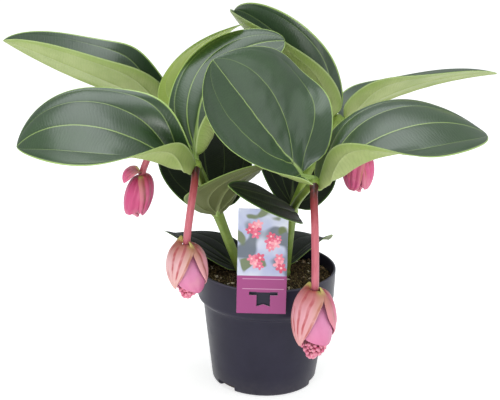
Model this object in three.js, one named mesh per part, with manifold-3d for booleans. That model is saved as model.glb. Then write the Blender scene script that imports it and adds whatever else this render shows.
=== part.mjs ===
// A medinilla in its nursery pot: two four-angled stems with fourteen broad leaves in opposite pairs
// and four hanging blooms, standing in peat in a plastic pot with a hook tag over the rim.
// Millimetres, +Z up; the origin is the middle of the pot's flat underside and the front is -Y.

import * as THREE from 'three';
import { mergeVertices } from 'three/addons/utils/BufferGeometryUtils.js';
import Module from 'manifold-3d';

const wasm = await Module();
wasm.setup();

// ---------------------------------------------------------------- driving dimensions

const SEAT_GAP = 0.3;

const POT_HEIGHT = 147;
const RIM_RADIUS = 85;
const BODY_TOP_RADIUS = 77;
const BASE_RADIUS = 64.5;
const POT_WALL = 2;
const RIM_BAND_HEIGHT = 32;
const BAND_TAPER = 2.4;
const SHOULDER_HEIGHT = 12;
const FOOT_ROUND = 5;
const FOOT_CHAMFER = 1.5;
const BAND_LEDGE = 4;
const BAND_LEAN = 1;
const LIP_ROUND = 1.2;
const FLOOR = 3;
const POT_SEGMENTS = 40;

const RECESS_AZIMUTHS = [103, 223, 343];
const RECESS_SPAN = 26;
const RECESS_DEPTH = 10;
const RECESS_HEIGHT = 8;
const RECESS_OVERSHOOT = 6;
const DRAIN_RADIUS = 3.5;

const SOIL_LEVEL = 134;
const SOIL_EDGE_DROP = 3;
const SOIL_RINGS = [0, 22, 42, 60, 74];
const SOIL_RIPPLE = 0.9;
const RIPPLE_LENGTHS = [7, 9, 4.3];

const TAG = {
  left: -35, right: 22.6, bottom: 119.4, top: 248.6, thickness: 0.8,
  slotMiddle: -4, slotTop: 146.6, armWidth: 33.6, armHeight: 4.4, neckWidth: 16, neckBottom: 128,
  legLength: 15.5, notch: 3,
};

const STEM_RADIUS = 5.4;
const BRANCH_RADIUS = 4.6;
const KNOB_RADIUS = 8.2;
const FOOT_KNOB_RADIUS = 7.4;
const TIP_KNOB_RADIUS = 7.6;
const ROOT_DEPTH = 38;
const ROOT_SHIFT = 0.75;
const STEM_STEPS = 7;
const BRANCH_STEPS = 8;
const PEDUNCLE_RADIUS = 4.3;
const PEDUNCLE_START = 0.15;
const PEDUNCLE_REACH = 0.62;
const PEDUNCLE_SIDES = 8;
const PEDUNCLE_STEPS = 10;

const v3 = (x, y, z) => new THREE.Vector3(x, y, z);

// Where the stems stand in the soil, fork and end.
const JOINTS = {
  footLeft: v3(-29.8, 0, 133.4),
  footRight: v3(23, 5, 136.6),
  forkLeft: v3(-61.4, -10, 219),
  forkRight: v3(28.8, -8, 220.5),
  tipFrontLeft: v3(-85, -57, 290.4),
  tipBackLeft: v3(-123, 84, 321.4),
  tipFrontRight: v3(50.2, -85, 281.8),
  tipBackRight: v3(84.3, 64, 316),
};

// Blade of every leaf: half width along the midrib, and how the basal lobes curl up.
const WIDEST_AT = 0.45;
const BLUNTNESS = 0.7;
const BASE_POWERS = [2.4, 0.55];
const LOBE_REACH = 0.32;
const LOBE_BEND_FROM = 0.25;
const LOBE_BEND_TO = 0.65;
const LOBE_SET_BACK = 0.05;
const SET_BACK_REACH = 0.12;
const NECK_REACH = 0.025;
const CURL_POWER = 1.5;
const LEAF_STAND_OFF = 7.2;
const LEAF_STALK_RADIUS = 2;
const LEAF_STALK_REACH = 6;
const BLADE_HALF_THICKNESS = 0.45;
const MIDRIB_HALF_THICKNESS = 1.1;
const TIP_HALF_WIDTH = 0.6;
const BLADE_ROWS = [0.004, 0.03, 0.08, 0.15, 0.25, 0.38, 0.53, 0.68, 0.82, 0.93, 1];
const PLAIN_COLUMNS = [-1, -0.68, -0.34, 0, 0.34, 0.68, 1];
const LOBED_COLUMNS = [-1, -0.82, -0.64, -0.45, -0.25, 0, 0.25, 0.45, 0.64, 0.82, 1];
const LOBED_FROM = 80;

// Angles in degrees. azimuth, rise and sweep, droop aim the midrib; roll and twist turn the blade round
// it; fold, curl and lobe bend the left and right halves up; lift raises the leaf on its joint. Some
// leaves have their own bluntness, widest point, distance from the joint or share of width a side.
const LEAVES = [
  { name: 'leaf_1', joint: 'tipBackLeft', azimuth: 183, rise: 13, droop: -20, sweep: 7, roll: 5, twist: 2,
    length: 214, width: 153, fold: [35, 21], curl: [18, 9], lobe: [23, 88], lift: 2 },
  { name: 'leaf_2', joint: 'tipFrontLeft', azimuth: 206, rise: 38, droop: 87, sweep: -42, roll: 14,
    twist: 30, length: 226, width: 142, fold: [-5, -3], curl: [22, -12], lobe: [137, 156], lift: -8,
    bend: 1.9 },
  { name: 'leaf_3', joint: 'tipFrontLeft', azimuth: 95.8, rise: 75.5, droop: 79, sweep: -84.9, roll: -10.3,
    twist: -47.7, length: 210.5, width: 106, fold: [-8, 11], curl: [-32, 53], lobe: [-21, 126], lift: 11,
    blunt: 0.5, mid: 0.37, standOff: 4.3, sides: [0.79, 1.21] },
  { name: 'leaf_4', joint: 'tipBackLeft', azimuth: -17, rise: 88, droop: 70, sweep: 0, roll: 19, twist: 0,
    length: 150, width: 130, fold: [13, -15], curl: [4, 3], lobe: [0, 9], lift: 0 },
  { name: 'leaf_5', joint: 'tipBackRight', azimuth: 169.3, rise: 46.6, droop: 24.7, sweep: -53.8, roll: 7.7,
    twist: 34.5, length: 203, width: 109, fold: [58, 41], curl: [51, 6], lobe: [22, -8], lift: 1 },
  { name: 'leaf_6', joint: 'tipFrontRight', azimuth: 187.8, rise: 52.3, droop: 1, sweep: -15.5, roll: 24.6,
    twist: 12.4, length: 166, width: 204, fold: [6, 16], curl: [38, -42], lobe: [22, 79], lift: 8.4,
    blunt: 0.67, mid: 0.52, standOff: 14.6, sides: [1.22, 1.09] },
  { name: 'leaf_7', joint: 'tipFrontRight', azimuth: -7, rise: 61, droop: 91, sweep: 38, roll: -22,
    twist: 0, length: 232, width: 144, fold: [-4, -4], curl: [-18, 17], lobe: [24, 180], lift: -7 },
  { name: 'leaf_8', joint: 'tipBackRight', azimuth: 24, rise: 23, droop: 18, sweep: -18, roll: 15,
    twist: -10, length: 209, width: 135, fold: [12, 20], curl: [-9, -8], lobe: [45, 52], lift: 0 },
  { name: 'leaf_9', joint: 'forkLeft', azimuth: 106, rise: 28, droop: 6, sweep: -20, roll: 10, twist: 0,
    length: 213, width: 120, fold: [10, 5], curl: [8, 0], lobe: [0, 0], lift: -1.5 },
  { name: 'leaf_10', joint: 'forkLeft', azimuth: -82.6, rise: 68.5, droop: 47.8, sweep: 85.1, roll: -9.6,
    twist: 42.2, length: 106, width: 91, fold: [11, -4], curl: [6, 9], lobe: [50, 36], lift: -2,
    blunt: 0.48, mid: 0.39, sides: [1.26, 1.08] },
  { name: 'leaf_11', joint: 'forkRight', azimuth: 270.1, rise: 26.2, droop: 4.8, sweep: -45.4, roll: 29.1,
    twist: 0.5, length: 215, width: 57, fold: [-19, -7], curl: [-2, 8], lobe: [-2, 2], lift: 2 },
  { name: 'leaf_12', joint: 'forkRight', azimuth: 90, rise: 38, droop: 30, sweep: -19, roll: -34,
    twist: 5, length: 193, width: 117, fold: [2, -2], curl: [2, 9], lobe: [3, 20], lift: 2 },
  { name: 'leaf_13', joint: 'footLeft', azimuth: 133, rise: 24, droop: 43, sweep: -9, roll: -7, twist: -4,
    length: 147, width: 84, fold: [6, 6], curl: [8, 7], lobe: [0, 0], lift: 4 },
  { name: 'leaf_14', joint: 'footRight', azimuth: 65, rise: 14, droop: 37, sweep: 2, roll: 10, twist: 0,
    length: 145, width: 84, fold: [15, 14], curl: [11, 12], lobe: [0, 0], lift: 6, sides: [1.05, 0.55] },
];

// Side view of a bract from its foot on the peduncle, over the shoulder, to its tip:
// radius as a share of the bloom's, height as a share of the bract's reach.
const BRACT_SHAPES = {
  open: [[0, 0], [0.28, 0.02], [0.62, -0.07], [0.88, -0.25], [1, -0.5], [0.97, -0.7],
    [0.87, -0.87], [0.72, -1]],
  cup: [[0, 0], [0.2, -0.02], [0.42, -0.13], [0.7, -0.31], [0.93, -0.52], [0.98, -0.7],
    [0.92, -0.87], [0.8, -1]],
  shut: [[0, 0], [0.3, 0], [0.64, -0.1], [0.9, -0.28], [1, -0.5], [0.93, -0.7],
    [0.74, -0.88], [0.5, -1]],
  hood: [[0, 0], [0.3, 0.3], [0.62, 0.5], [0.92, 0.42], [1.1, 0.1], [1.16, -0.3],
    [1.14, -0.65], [1.06, -1]],
};

// Blooms: neck is where the bracts leave the peduncle, lean how far the foot of the bloom stands off to
// the side. Each bract turns its keel to an azimuth, reaches down by a share of the bloom's length, bulges
// toward its keel, and spans half an arc in degrees at each step from foot to tip.
const BRACT_HALF_THICKNESS = 0.6;
const BRACT_LAYER = 2.6;
const BALL_RADIUS = 3.4;
const GOLDEN_ANGLE = Math.PI * (3 - Math.sqrt(5));
const BLOOMS = [
  { name: 'front_left', joint: 'tipFrontLeft', via: [v3(-86, -75, 273), v3(-89.5, -86, 247)],
    neck: v3(-94, -84, 203), radius: 24.5, length: 60, lean: [2, 0], balls: 7, cluster: 13.5, drop: 3.5,
    bracts: {
      outer_1: { shape: 'open', turn: 222, layer: 0, reach: 0.84, bulge: 0,
        spans: [95, 93, 82, 62, 47, 34, 18, 5] },
      outer_2: { shape: 'open', turn: 15, layer: 0.7, reach: 0.87, bulge: 3,
        spans: [88, 87, 80, 74, 64, 50, 28, 5] },
      inner: { shape: 'cup', turn: 316, layer: 2, reach: 1, bulge: 2.5,
        spans: [150, 150, 150, 145, 130, 100, 62, 8] },
    } },
  { name: 'front_right', joint: 'tipFrontRight', via: [v3(50, -102, 268), v3(51.5, -120, 238)],
    neck: v3(54.5, -117, 163), radius: 26, length: 70, lean: [0, 0], balls: 10, cluster: 16, drop: 11,
    bracts: {
      outer_1: { shape: 'open', turn: 217, layer: 0, reach: 0.92, bulge: 0,
        spans: [93, 92, 87, 67, 50, 36, 20, 5] },
      outer_2: { shape: 'open', turn: 20, layer: 0.7, reach: 0.88, bulge: 3,
        spans: [84, 83, 79, 77, 68, 47, 22, 5] },
      inner: { shape: 'cup', turn: 322, layer: 2, reach: 0.97, bulge: 2.5,
        spans: [150, 150, 150, 145, 140, 120, 84, 8] },
    } },
  { name: 'back_left', joint: 'tipBackLeft', via: [v3(-134, 84, 303), v3(-148, 84, 266)],
    neck: v3(-159, 84, 236), radius: 21.5, length: 57, lean: [-10, 0], balls: 3, cluster: 8, drop: -1,
    bracts: {
      outer_1: { shape: 'hood', turn: 196, layer: 0, reach: 0.2, bulge: 0,
        spans: [70, 70, 66, 58, 48, 38, 26, 10] },
      outer_2: { shape: 'shut', turn: 345, layer: 1, reach: 1, bulge: 0,
        spans: [100, 98, 88, 74, 64, 60, 52, 22] },
      inner: { shape: 'shut', turn: 215, layer: 2, reach: 1.02, bulge: 2,
        spans: [100, 100, 98, 96, 94, 92, 84, 30] },
    } },
  { name: 'back_right', joint: 'tipBackRight', via: [v3(96, 62, 305), v3(107, 62, 296)],
    neck: v3(113, 62, 280), radius: 20.5, length: 52, lean: [0, 0], balls: 4, cluster: 9, drop: 1,
    bracts: {
      outer_1: { shape: 'shut', turn: 222, layer: 0, reach: 0.98, bulge: 0,
        spans: [96, 94, 84, 68, 58, 54, 46, 24] },
      outer_2: { shape: 'shut', turn: 330, layer: 1, reach: 1, bulge: 1,
        spans: [96, 94, 84, 68, 58, 54, 48, 30] },
      inner: { shape: 'shut', turn: 90, layer: 2, reach: 0.96, bulge: 0,
        spans: [100, 100, 98, 90, 84, 78, 64, 30] },
    } },
];

// ---------------------------------------------------------------- materials

const finish = (color, roughness) => new THREE.MeshStandardMaterial({ color, roughness, metalness: 0 });

const MATERIALS = {
  pot: finish(0x4a4858, 0.42),
  soil: finish(0x3b2c20, 0.95),
  tag: finish(0xb0559a, 0.3),
  stem: finish(0x7f9a3c, 0.5),
  leaf: finish(0x2f5136, 0.38),
  peduncle: finish(0xc85a66, 0.5),
  bractOuter: finish(0xe09a9c, 0.5),
  bractInner: finish(0xdd6f9c, 0.45),
  buds: finish(0xe0789a, 0.45),
};

// ---------------------------------------------------------------- solids

const rad = THREE.MathUtils.degToRad;

// A closed three.js geometry as a solid that can be joined and cut.
function solidOf(geometry) {
  geometry.deleteAttribute('normal');
  geometry.deleteAttribute('uv');
  const merged = mergeVertices(geometry, 1e-4);
  return new wasm.Manifold(new wasm.Mesh({
    numProp: 3,
    vertProperties: new Float32Array(merged.attributes.position.array),
    triVerts: new Uint32Array(merged.index.array),
  }));
}

function geometryOf(solid) {
  const mesh = solid.getMesh();
  const geometry = new THREE.BufferGeometry();
  geometry.setAttribute('position', new THREE.BufferAttribute(new Float32Array(mesh.vertProperties), 3));
  geometry.setIndex(new THREE.BufferAttribute(new Uint32Array(mesh.triVerts), 1));
  geometry.computeVertexNormals();
  return geometry;
}

// The biggest body of a solid, without the scraps that a cut leaves.
function largest(solid) {
  const bodies = solid.decompose();
  return bodies.reduce((best, body) => (body.volume() > best.volume() ? body : best));
}

function joined(solids) {
  return solids.reduce((sum, solid) => sum.add(solid));
}

const plant = new THREE.Group();

function place(name, solid, material) {
  const mesh = new THREE.Mesh(geometryOf(solid), material);
  mesh.name = name;
  plant.add(mesh);
}

// A solid of revolution about Z from [radius, height] points that close on the axis.
function turned(points, segments = POT_SEGMENTS) {
  const profile = points.map(([radius, height]) => new THREE.Vector2(radius, height));
  return solidOf(new THREE.LatheGeometry(profile, segments).rotateX(Math.PI / 2));
}

// A rod along a smooth path. sides lists the section's radius at each corner as a share of radius.
function rod(points, radius, sides, steps) {
  const section = new THREE.Shape();
  sides.forEach((share, k) => {
    const angle = 2 * Math.PI * k / sides.length;
    const at = [radius * share * Math.cos(angle), radius * share * Math.sin(angle)];
    if (k === 0) section.moveTo(...at);
    else section.lineTo(...at);
  });
  const path = new THREE.CatmullRomCurve3(points);
  return solidOf(new THREE.ExtrudeGeometry(section, { steps, extrudePath: path, bevelEnabled: false }));
}

function ball(centre, radius, widthSegments = 8, heightSegments = 5) {
  const sphere = new THREE.SphereGeometry(radius, widthSegments, heightSegments);
  return solidOf(sphere.rotateX(Math.PI / 2).translate(centre.x, centre.y, centre.z));
}

// A thin closed sheet round a grid of points; both faces are split into triangles alike.
function sheet(grid, halfThickness) {
  const rows = grid.length;
  const columns = grid[0].length;
  const clamp = (k, count) => Math.min(Math.max(k, 0), count - 1);
  const across = (i, j) => grid[i][clamp(j + 1, columns)].clone().sub(grid[i][clamp(j - 1, columns)]);
  const along = (i, j) => grid[clamp(i + 1, rows)][j].clone().sub(grid[clamp(i - 1, rows)][j]);
  const positions = [];
  for (const side of [1, -1]) {
    for (let i = 0; i < rows; i++) {
      for (let j = 0; j < columns; j++) {
        const normal = across(i, j).cross(along(i, j)).normalize();
        positions.push(...grid[i][j].clone().addScaledVector(normal, side * halfThickness(i, j)));
      }
    }
  }
  const front = (i, j) => i * columns + j;
  const back = (i, j) => rows * columns + i * columns + j;
  const triangles = [];
  const quad = (a, b, c, d) => triangles.push(a, b, c, a, c, d);
  for (let i = 0; i < rows - 1; i++) {
    for (let j = 0; j < columns - 1; j++) {
      const corners = [front(i, j), front(i, j + 1), front(i + 1, j + 1), front(i + 1, j)];
      const [a, b, c, d] = corners;
      triangles.push(a, b, c, a, c, d);
      const [e, f, g, h] = corners.map((index) => index + rows * columns);
      triangles.push(e, g, f, e, h, g);
    }
  }
  for (let j = 0; j < columns - 1; j++) {
    quad(back(0, j), back(0, j + 1), front(0, j + 1), front(0, j));
    quad(front(rows - 1, j), front(rows - 1, j + 1), back(rows - 1, j + 1), back(rows - 1, j));
  }
  for (let i = 0; i < rows - 1; i++) {
    quad(front(i, 0), front(i + 1, 0), back(i + 1, 0), back(i, 0));
    quad(back(i, columns - 1), back(i + 1, columns - 1), front(i + 1, columns - 1), front(i, columns - 1));
  }
  const geometry = new THREE.BufferGeometry();
  geometry.setAttribute('position', new THREE.Float32BufferAttribute(positions, 3));
  geometry.setIndex(triangles);
  return solidOf(geometry);
}

// ---------------------------------------------------------------- pot and soil

// Wedges that lift the underside off the ground round the drain holes; grow thickens them.
function recesses(grow) {
  const outer = BASE_RADIUS + RECESS_OVERSHOOT;
  const inner = BASE_RADIUS - RECESS_DEPTH - grow;
  return joined(RECESS_AZIMUTHS.map((azimuth) => {
    const half = rad(RECESS_SPAN / 2) + grow / BASE_RADIUS;
    const wedge = new THREE.Shape();
    wedge.absarc(0, 0, outer, rad(azimuth) - half, rad(azimuth) + half, false);
    wedge.absarc(0, 0, inner, rad(azimuth) + half, rad(azimuth) - half, true);
    const options = { depth: RECESS_HEIGHT + grow + 1, bevelEnabled: false, curveSegments: 6 };
    return solidOf(new THREE.ExtrudeGeometry(wedge, options).translate(0, 0, -1));
  }));
}

const SHOULDER = POT_HEIGHT - RIM_BAND_HEIGHT;

function outerWall() {
  const bodyTop = SHOULDER - SHOULDER_HEIGHT;
  return turned([
    [0, 0], [BASE_RADIUS - FOOT_ROUND, 0], [BASE_RADIUS - FOOT_CHAMFER, FOOT_CHAMFER],
    [BASE_RADIUS, FOOT_ROUND], [BODY_TOP_RADIUS, bodyTop], [RIM_RADIUS - FOOT_ROUND, bodyTop + BAND_LEDGE],
    [RIM_RADIUS - BAND_LEAN, SHOULDER - BAND_LEDGE / 2], [RIM_RADIUS - BAND_LEAN, SHOULDER],
    [RIM_RADIUS, POT_HEIGHT - LIP_ROUND], [RIM_RADIUS - LIP_ROUND / 2, POT_HEIGHT], [0, POT_HEIGHT],
  ]);
}

// The pot's hollow; shrink makes the filling that stands clear of the wall.
function hollow(shrink, top) {
  const wall = POT_WALL + shrink;
  return turned([
    [0, FLOOR + shrink], [BASE_RADIUS - wall - FOOT_CHAMFER, FLOOR + shrink],
    [BODY_TOP_RADIUS - wall, SHOULDER - SHOULDER_HEIGHT], [RIM_RADIUS - BAND_TAPER - wall, SHOULDER],
    [RIM_RADIUS - LIP_ROUND / 2 - wall, top], [0, top],
  ]);
}

function pot() {
  const cavity = hollow(0, POT_HEIGHT + 1).subtract(recesses(POT_WALL));
  const drains = joined(RECESS_AZIMUTHS.map((azimuth) => {
    const out = BASE_RADIUS - RECESS_DEPTH + DRAIN_RADIUS;
    const hole = new THREE.CylinderGeometry(DRAIN_RADIUS, DRAIN_RADIUS, 4 * RECESS_HEIGHT, 12);
    hole.rotateX(Math.PI / 2).translate(out * Math.cos(rad(azimuth)), out * Math.sin(rad(azimuth)), 0);
    return solidOf(hole);
  }));
  return outerWall().subtract(recesses(0)).subtract(cavity).subtract(drains);
}

// Peat: a little lower at the wall, gently uneven on top.
function soil(stems) {
  const level = (radius) => SOIL_LEVEL - SOIL_EDGE_DROP * (radius / RIM_RADIUS) ** 4;
  const points = [...SOIL_RINGS, RIM_RADIUS].map((radius) => new THREE.Vector2(radius, level(radius)));
  const under = [new THREE.Vector2(0, 0), new THREE.Vector2(RIM_RADIUS, 0)];
  const lid = new THREE.LatheGeometry([...under, ...points.reverse()], POT_SEGMENTS).rotateX(Math.PI / 2);
  const position = lid.attributes.position;
  for (let k = 0; k < position.count; k++) {
    const [x, y, z] = [position.getX(k), position.getY(k), position.getZ(k)];
    const [long, cross, slant] = [x / RIPPLE_LENGTHS[0], y / RIPPLE_LENGTHS[1], (x + y) / RIPPLE_LENGTHS[2]];
    const ripple = Math.sin(long + 1) * Math.cos(cross) + 0.6 * Math.sin(slant);
    if (z > SOIL_LEVEL / 2) position.setZ(k, z + SOIL_RIPPLE * ripple);
  }
  const filling = hollow(SEAT_GAP, POT_HEIGHT - 1).subtract(recesses(POT_WALL + SEAT_GAP));
  return filling.intersect(solidOf(lid)).subtract(stems);
}

// ---------------------------------------------------------------- tag

// A flat tag whose die-cut tab folds back over the rim and hangs inside the pot.
function tag() {
  const face = new THREE.Shape([
    new THREE.Vector2(TAG.left, TAG.bottom), new THREE.Vector2(TAG.right, TAG.bottom),
    new THREE.Vector2(TAG.right, TAG.top), new THREE.Vector2(TAG.left, TAG.top),
  ]);
  const [arm, neck] = [TAG.armWidth / 2, TAG.neckWidth / 2];
  const armBottom = TAG.slotTop - TAG.armHeight;
  const slot = [
    [-arm, TAG.slotTop], [-arm, armBottom], [-neck, armBottom], [-neck, TAG.neckBottom],
    [0, TAG.neckBottom + TAG.notch], [neck, TAG.neckBottom], [neck, armBottom], [arm, armBottom],
    [arm, TAG.slotTop],
  ];
  face.holes.push(new THREE.Path(slot.map(([x, z]) => new THREE.Vector2(TAG.slotMiddle + x, z))));
  const sheetAt = (shape, back) => {
    const flat = new THREE.ExtrudeGeometry(shape, { depth: TAG.thickness, bevelEnabled: false });
    return solidOf(flat.rotateX(Math.PI / 2).translate(0, back, 0));
  };
  const back = -(RIM_RADIUS + SEAT_GAP);
  const wallInside = (RIM_RADIUS - BAND_TAPER - POT_WALL) * Math.cos(Math.PI / POT_SEGMENTS);
  const legFront = -Math.sqrt(wallInside ** 2 - (neck - TAG.slotMiddle) ** 2) + SEAT_GAP;
  const legBack = legFront + TAG.thickness;
  const overTop = POT_HEIGHT + SEAT_GAP + TAG.thickness;
  const bridgeFront = back - TAG.thickness / 2;
  const bridge = new THREE.BoxGeometry(TAG.neckWidth, legBack - bridgeFront, TAG.thickness);
  bridge.translate(TAG.slotMiddle, (legBack + bridgeFront) / 2, overTop - TAG.thickness / 2);
  const legBottom = overTop - TAG.legLength;
  const leg = new THREE.Shape([
    [-neck, overTop], [-neck, legBottom], [0, legBottom + TAG.notch], [neck, legBottom], [neck, overTop],
  ].map(([x, z]) => new THREE.Vector2(TAG.slotMiddle + x, z)));
  return joined([sheetAt(face, back), solidOf(bridge), sheetAt(leg, legBack)]);
}

// ---------------------------------------------------------------- stems

const FOUR_ANGLED = [1.12, 0.86, 1.12, 0.86, 1.12, 0.86, 1.12, 0.86];

// Where the branches bow on their way from a fork to a tip.
const BOWS = {
  tipFrontLeft: [v3(-76, -22, 250)],
  tipBackLeft: [v3(-84, 18, 262)],
  tipFrontRight: [v3(36, -40, 247)],
  tipBackRight: [v3(48, 20, 262)],
};

function stem(foot, fork, tips, grow) {
  const at = JOINTS[foot];
  const lean = JOINTS[fork].clone().sub(at);
  const rooted = v3(at.x * ROOT_SHIFT, at.y, at.z - ROOT_DEPTH - grow);
  const middle = at.clone().addScaledVector(lean, 0.5);
  const solids = [
    rod([rooted, at, middle, JOINTS[fork]], STEM_RADIUS + grow, FOUR_ANGLED, STEM_STEPS),
    ball(JOINTS[fork], KNOB_RADIUS + grow),
    ball(at, FOOT_KNOB_RADIUS + grow),
  ];
  for (const tip of tips) {
    const route = [JOINTS[fork], ...BOWS[tip], JOINTS[tip]];
    solids.push(rod(route, BRANCH_RADIUS + grow, FOUR_ANGLED, BRANCH_STEPS));
    solids.push(ball(JOINTS[tip], TIP_KNOB_RADIUS + grow));
  }
  return joined(solids);
}

const stemLeft = (grow) => stem('footLeft', 'forkLeft', ['tipFrontLeft', 'tipBackLeft'], grow);
const stemRight = (grow) => stem('footRight', 'forkRight', ['tipFrontRight', 'tipBackRight'], grow);

// ---------------------------------------------------------------- leaves

const MIDRIB_STEPS = 60;
const BEND_STEPS = 24;

// Half width of a blade at t along its midrib, as a share of its greatest half width.
function outline(t, blunt, mid) {
  if (t < mid) return (1 - ((mid - t) / mid) ** BASE_POWERS[0]) ** BASE_POWERS[1];
  return (1 - ((t - mid) / (1 - mid)) ** 2) ** blunt;
}

// Which way a midrib runs at t, and its azimuth there.
function heading(leaf, t) {
  const up = rad(leaf.rise - leaf.droop * t ** (leaf.bend ?? 1));
  const round = rad(leaf.azimuth + leaf.sweep * t);
  const along = v3(Math.cos(up) * Math.cos(round), Math.cos(up) * Math.sin(round), Math.sin(up));
  return { round, along };
}

// Point on the midrib at t, by summing short steps along its heading.
function midribPoint(leaf, base, t) {
  const point = base.clone();
  const step = leaf.length / MIDRIB_STEPS;
  for (let k = 0; k < MIDRIB_STEPS; k++) {
    const share = Math.min(Math.max(t * MIDRIB_STEPS - k, 0), 1);
    point.addScaledVector(heading(leaf, (k + 0.5) / MIDRIB_STEPS).along, share * step);
  }
  return point;
}

// A leaf whose basal lobes roll over is split more finely across.
function columnsOf(leaf) {
  return Math.max(...leaf.lobe) > LOBED_FROM ? LOBED_COLUMNS : PLAIN_COLUMNS;
}

// One row of a blade across its midrib, v from -1 at the left margin to 1 at the right.
function bladeRow(leaf, base, t) {
  const { round, along } = heading(leaf, t);
  const level = v3(Math.sin(round), -Math.cos(round), 0);
  const above = level.clone().cross(along);
  const roll = rad(leaf.roll + leaf.twist * t);
  const side = level.clone().multiplyScalar(Math.cos(roll)).addScaledVector(above, Math.sin(roll));
  const normal = above.clone().multiplyScalar(Math.cos(roll)).addScaledVector(level, -Math.sin(roll));
  const share = outline(t, leaf.blunt ?? BLUNTNESS, leaf.mid ?? WIDEST_AT);
  const halfWidth = Math.max(share * leaf.width / 2, TIP_HALF_WIDTH);
  const lobeShare = Math.exp(-((t / LOBE_REACH) ** 2));
  const setBack = LOBE_SET_BACK * leaf.width
    * (Math.exp(-((t / SET_BACK_REACH) ** 2)) - Math.exp(-((t / NECK_REACH) ** 2)));
  const middle = midribPoint(leaf, base, t);
  return columnsOf(leaf).map((v) => {
    const [hand, sign, reach] = v < 0 ? [0, -1, -v] : [1, 1, v];
    const wide = halfWidth * (leaf.sides ?? [1, 1])[hand];
    let [out, rise] = [0, 0];
    for (let k = 0; k < BEND_STEPS; k++) {
      const q = (k + 0.5) / BEND_STEPS * reach;
      const ramp = THREE.MathUtils.smoothstep(q, LOBE_BEND_FROM, LOBE_BEND_TO);
      const curl = leaf.curl[hand] * q ** CURL_POWER;
      const bend = rad(leaf.fold[hand] + curl + leaf.lobe[hand] * lobeShare * ramp);
      out += Math.cos(bend) * reach / BEND_STEPS * wide;
      rise += Math.sin(bend) * reach / BEND_STEPS * wide;
    }
    return middle.clone()
      .addScaledVector(side, sign * out)
      .addScaledVector(normal, rise)
      .addScaledVector(along, -setBack * reach * reach);
  });
}

// A blade with the short stalk that carries it on its joint.
function blade(leaf) {
  const away = rad(leaf.azimuth);
  const joint = JOINTS[leaf.joint];
  const standOff = leaf.standOff ?? LEAF_STAND_OFF;
  const base = joint.clone().add(v3(standOff * Math.cos(away), standOff * Math.sin(away), leaf.lift));
  const grid = BLADE_ROWS.map((t) => bladeRow(leaf, base, t));
  const columns = columnsOf(leaf);
  const surface = sheet(grid, (i, j) => {
    const ridge = MIDRIB_HALF_THICKNESS - BLADE_HALF_THICKNESS;
    return BLADE_HALF_THICKNESS + (columns[j] === 0 ? ridge * (1 - BLADE_ROWS[i]) : 0);
  });
  const heart = joint.clone().add(v3(0, 0, leaf.lift / 2));
  const inside = base.clone().addScaledVector(heading(leaf, 0).along, LEAF_STALK_REACH);
  return surface.add(rod([heart, base, inside], LEAF_STALK_RADIUS, new Array(6).fill(1), 2));
}

// ---------------------------------------------------------------- blooms

const BRACT_COLUMNS = [-1, -0.66, -0.33, 0, 0.33, 0.66, 1];
const CUP_COLUMNS = [-1, -0.75, -0.5, -0.25, 0, 0.25, 0.5, 0.75, 1];
const WIDE_SPAN = 120;

// The bloom's axis at a share of its length below the neck.
function axisAt(bloom, share) {
  return v3(bloom.neck.x + bloom.lean[0] * share, bloom.neck.y + bloom.lean[1] * share,
    bloom.neck.z - bloom.length * share);
}

function bract(bloom, { shape, turn, layer, reach, bulge, spans }) {
  const profile = new THREE.SplineCurve(BRACT_SHAPES[shape].map((point) => new THREE.Vector2(...point)));
  const foot = PEDUNCLE_RADIUS + SEAT_GAP + BRACT_HALF_THICKNESS;
  const inset = layer * BRACT_LAYER;
  const columns = Math.max(...spans) > WIDE_SPAN ? CUP_COLUMNS : BRACT_COLUMNS;
  const grid = spans.map((span, i) => {
    const at = profile.getPoint(i / (spans.length - 1));
    const radius = foot + (bloom.radius - BRACT_HALF_THICKNESS - inset - foot) * at.x;
    const drop = (inset - (bloom.length * reach - 2 * inset) * at.y) / bloom.length;
    const middle = axisAt(bloom, drop);
    const out = bulge * Math.max(drop, 0);
    return columns.map((u) => {
      const angle = rad(turn + u * span);
      return middle.clone().add(v3(
        radius * Math.cos(angle) + out * Math.cos(rad(turn)),
        radius * Math.sin(angle) + out * Math.sin(rad(turn)),
        0,
      ));
    });
  });
  return sheet(grid, () => BRACT_HALF_THICKNESS);
}

// The peduncle hangs from its tip joint and runs on as the axis inside the bracts.
function peduncle(bloom, grow) {
  const start = JOINTS[bloom.joint].clone().lerp(bloom.via[0], PEDUNCLE_START);
  const end = axisAt(bloom, PEDUNCLE_REACH);
  const route = [start, ...bloom.via, bloom.neck, end];
  return rod(route, PEDUNCLE_RADIUS + grow, new Array(PEDUNCLE_SIDES).fill(1), PEDUNCLE_STEPS);
}

// Ball buds spread by the golden angle over the low end of a small core.
function buds(bloom) {
  const top = axisAt(bloom, PEDUNCLE_REACH).z - SEAT_GAP;
  const low = bloom.neck.z - bloom.length - bloom.drop;
  const coreRadius = bloom.cluster - BALL_RADIUS;
  const middle = axisAt(bloom, (bloom.neck.z - (top + low) / 2) / bloom.length);
  const core = new THREE.SphereGeometry(1, 9, 6).rotateX(Math.PI / 2);
  core.scale(coreRadius, coreRadius, (top - low) / 2).translate(middle.x, middle.y, middle.z);
  const solids = [solidOf(core)];
  for (let k = 0; k < bloom.balls; k++) {
    const down = (k + 0.5) / bloom.balls;
    const polar = 0.5 * Math.PI * Math.sqrt(down);
    const out = coreRadius * Math.sin(polar);
    const drop = (middle.z - low) * Math.cos(polar);
    const turn = GOLDEN_ANGLE * k;
    const centre = v3(middle.x + out * Math.cos(turn), middle.y + out * Math.sin(turn), middle.z - drop);
    solids.push(ball(centre, BALL_RADIUS, 6, 4));
  }
  return joined(solids);
}

// ---------------------------------------------------------------- the plant

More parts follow.
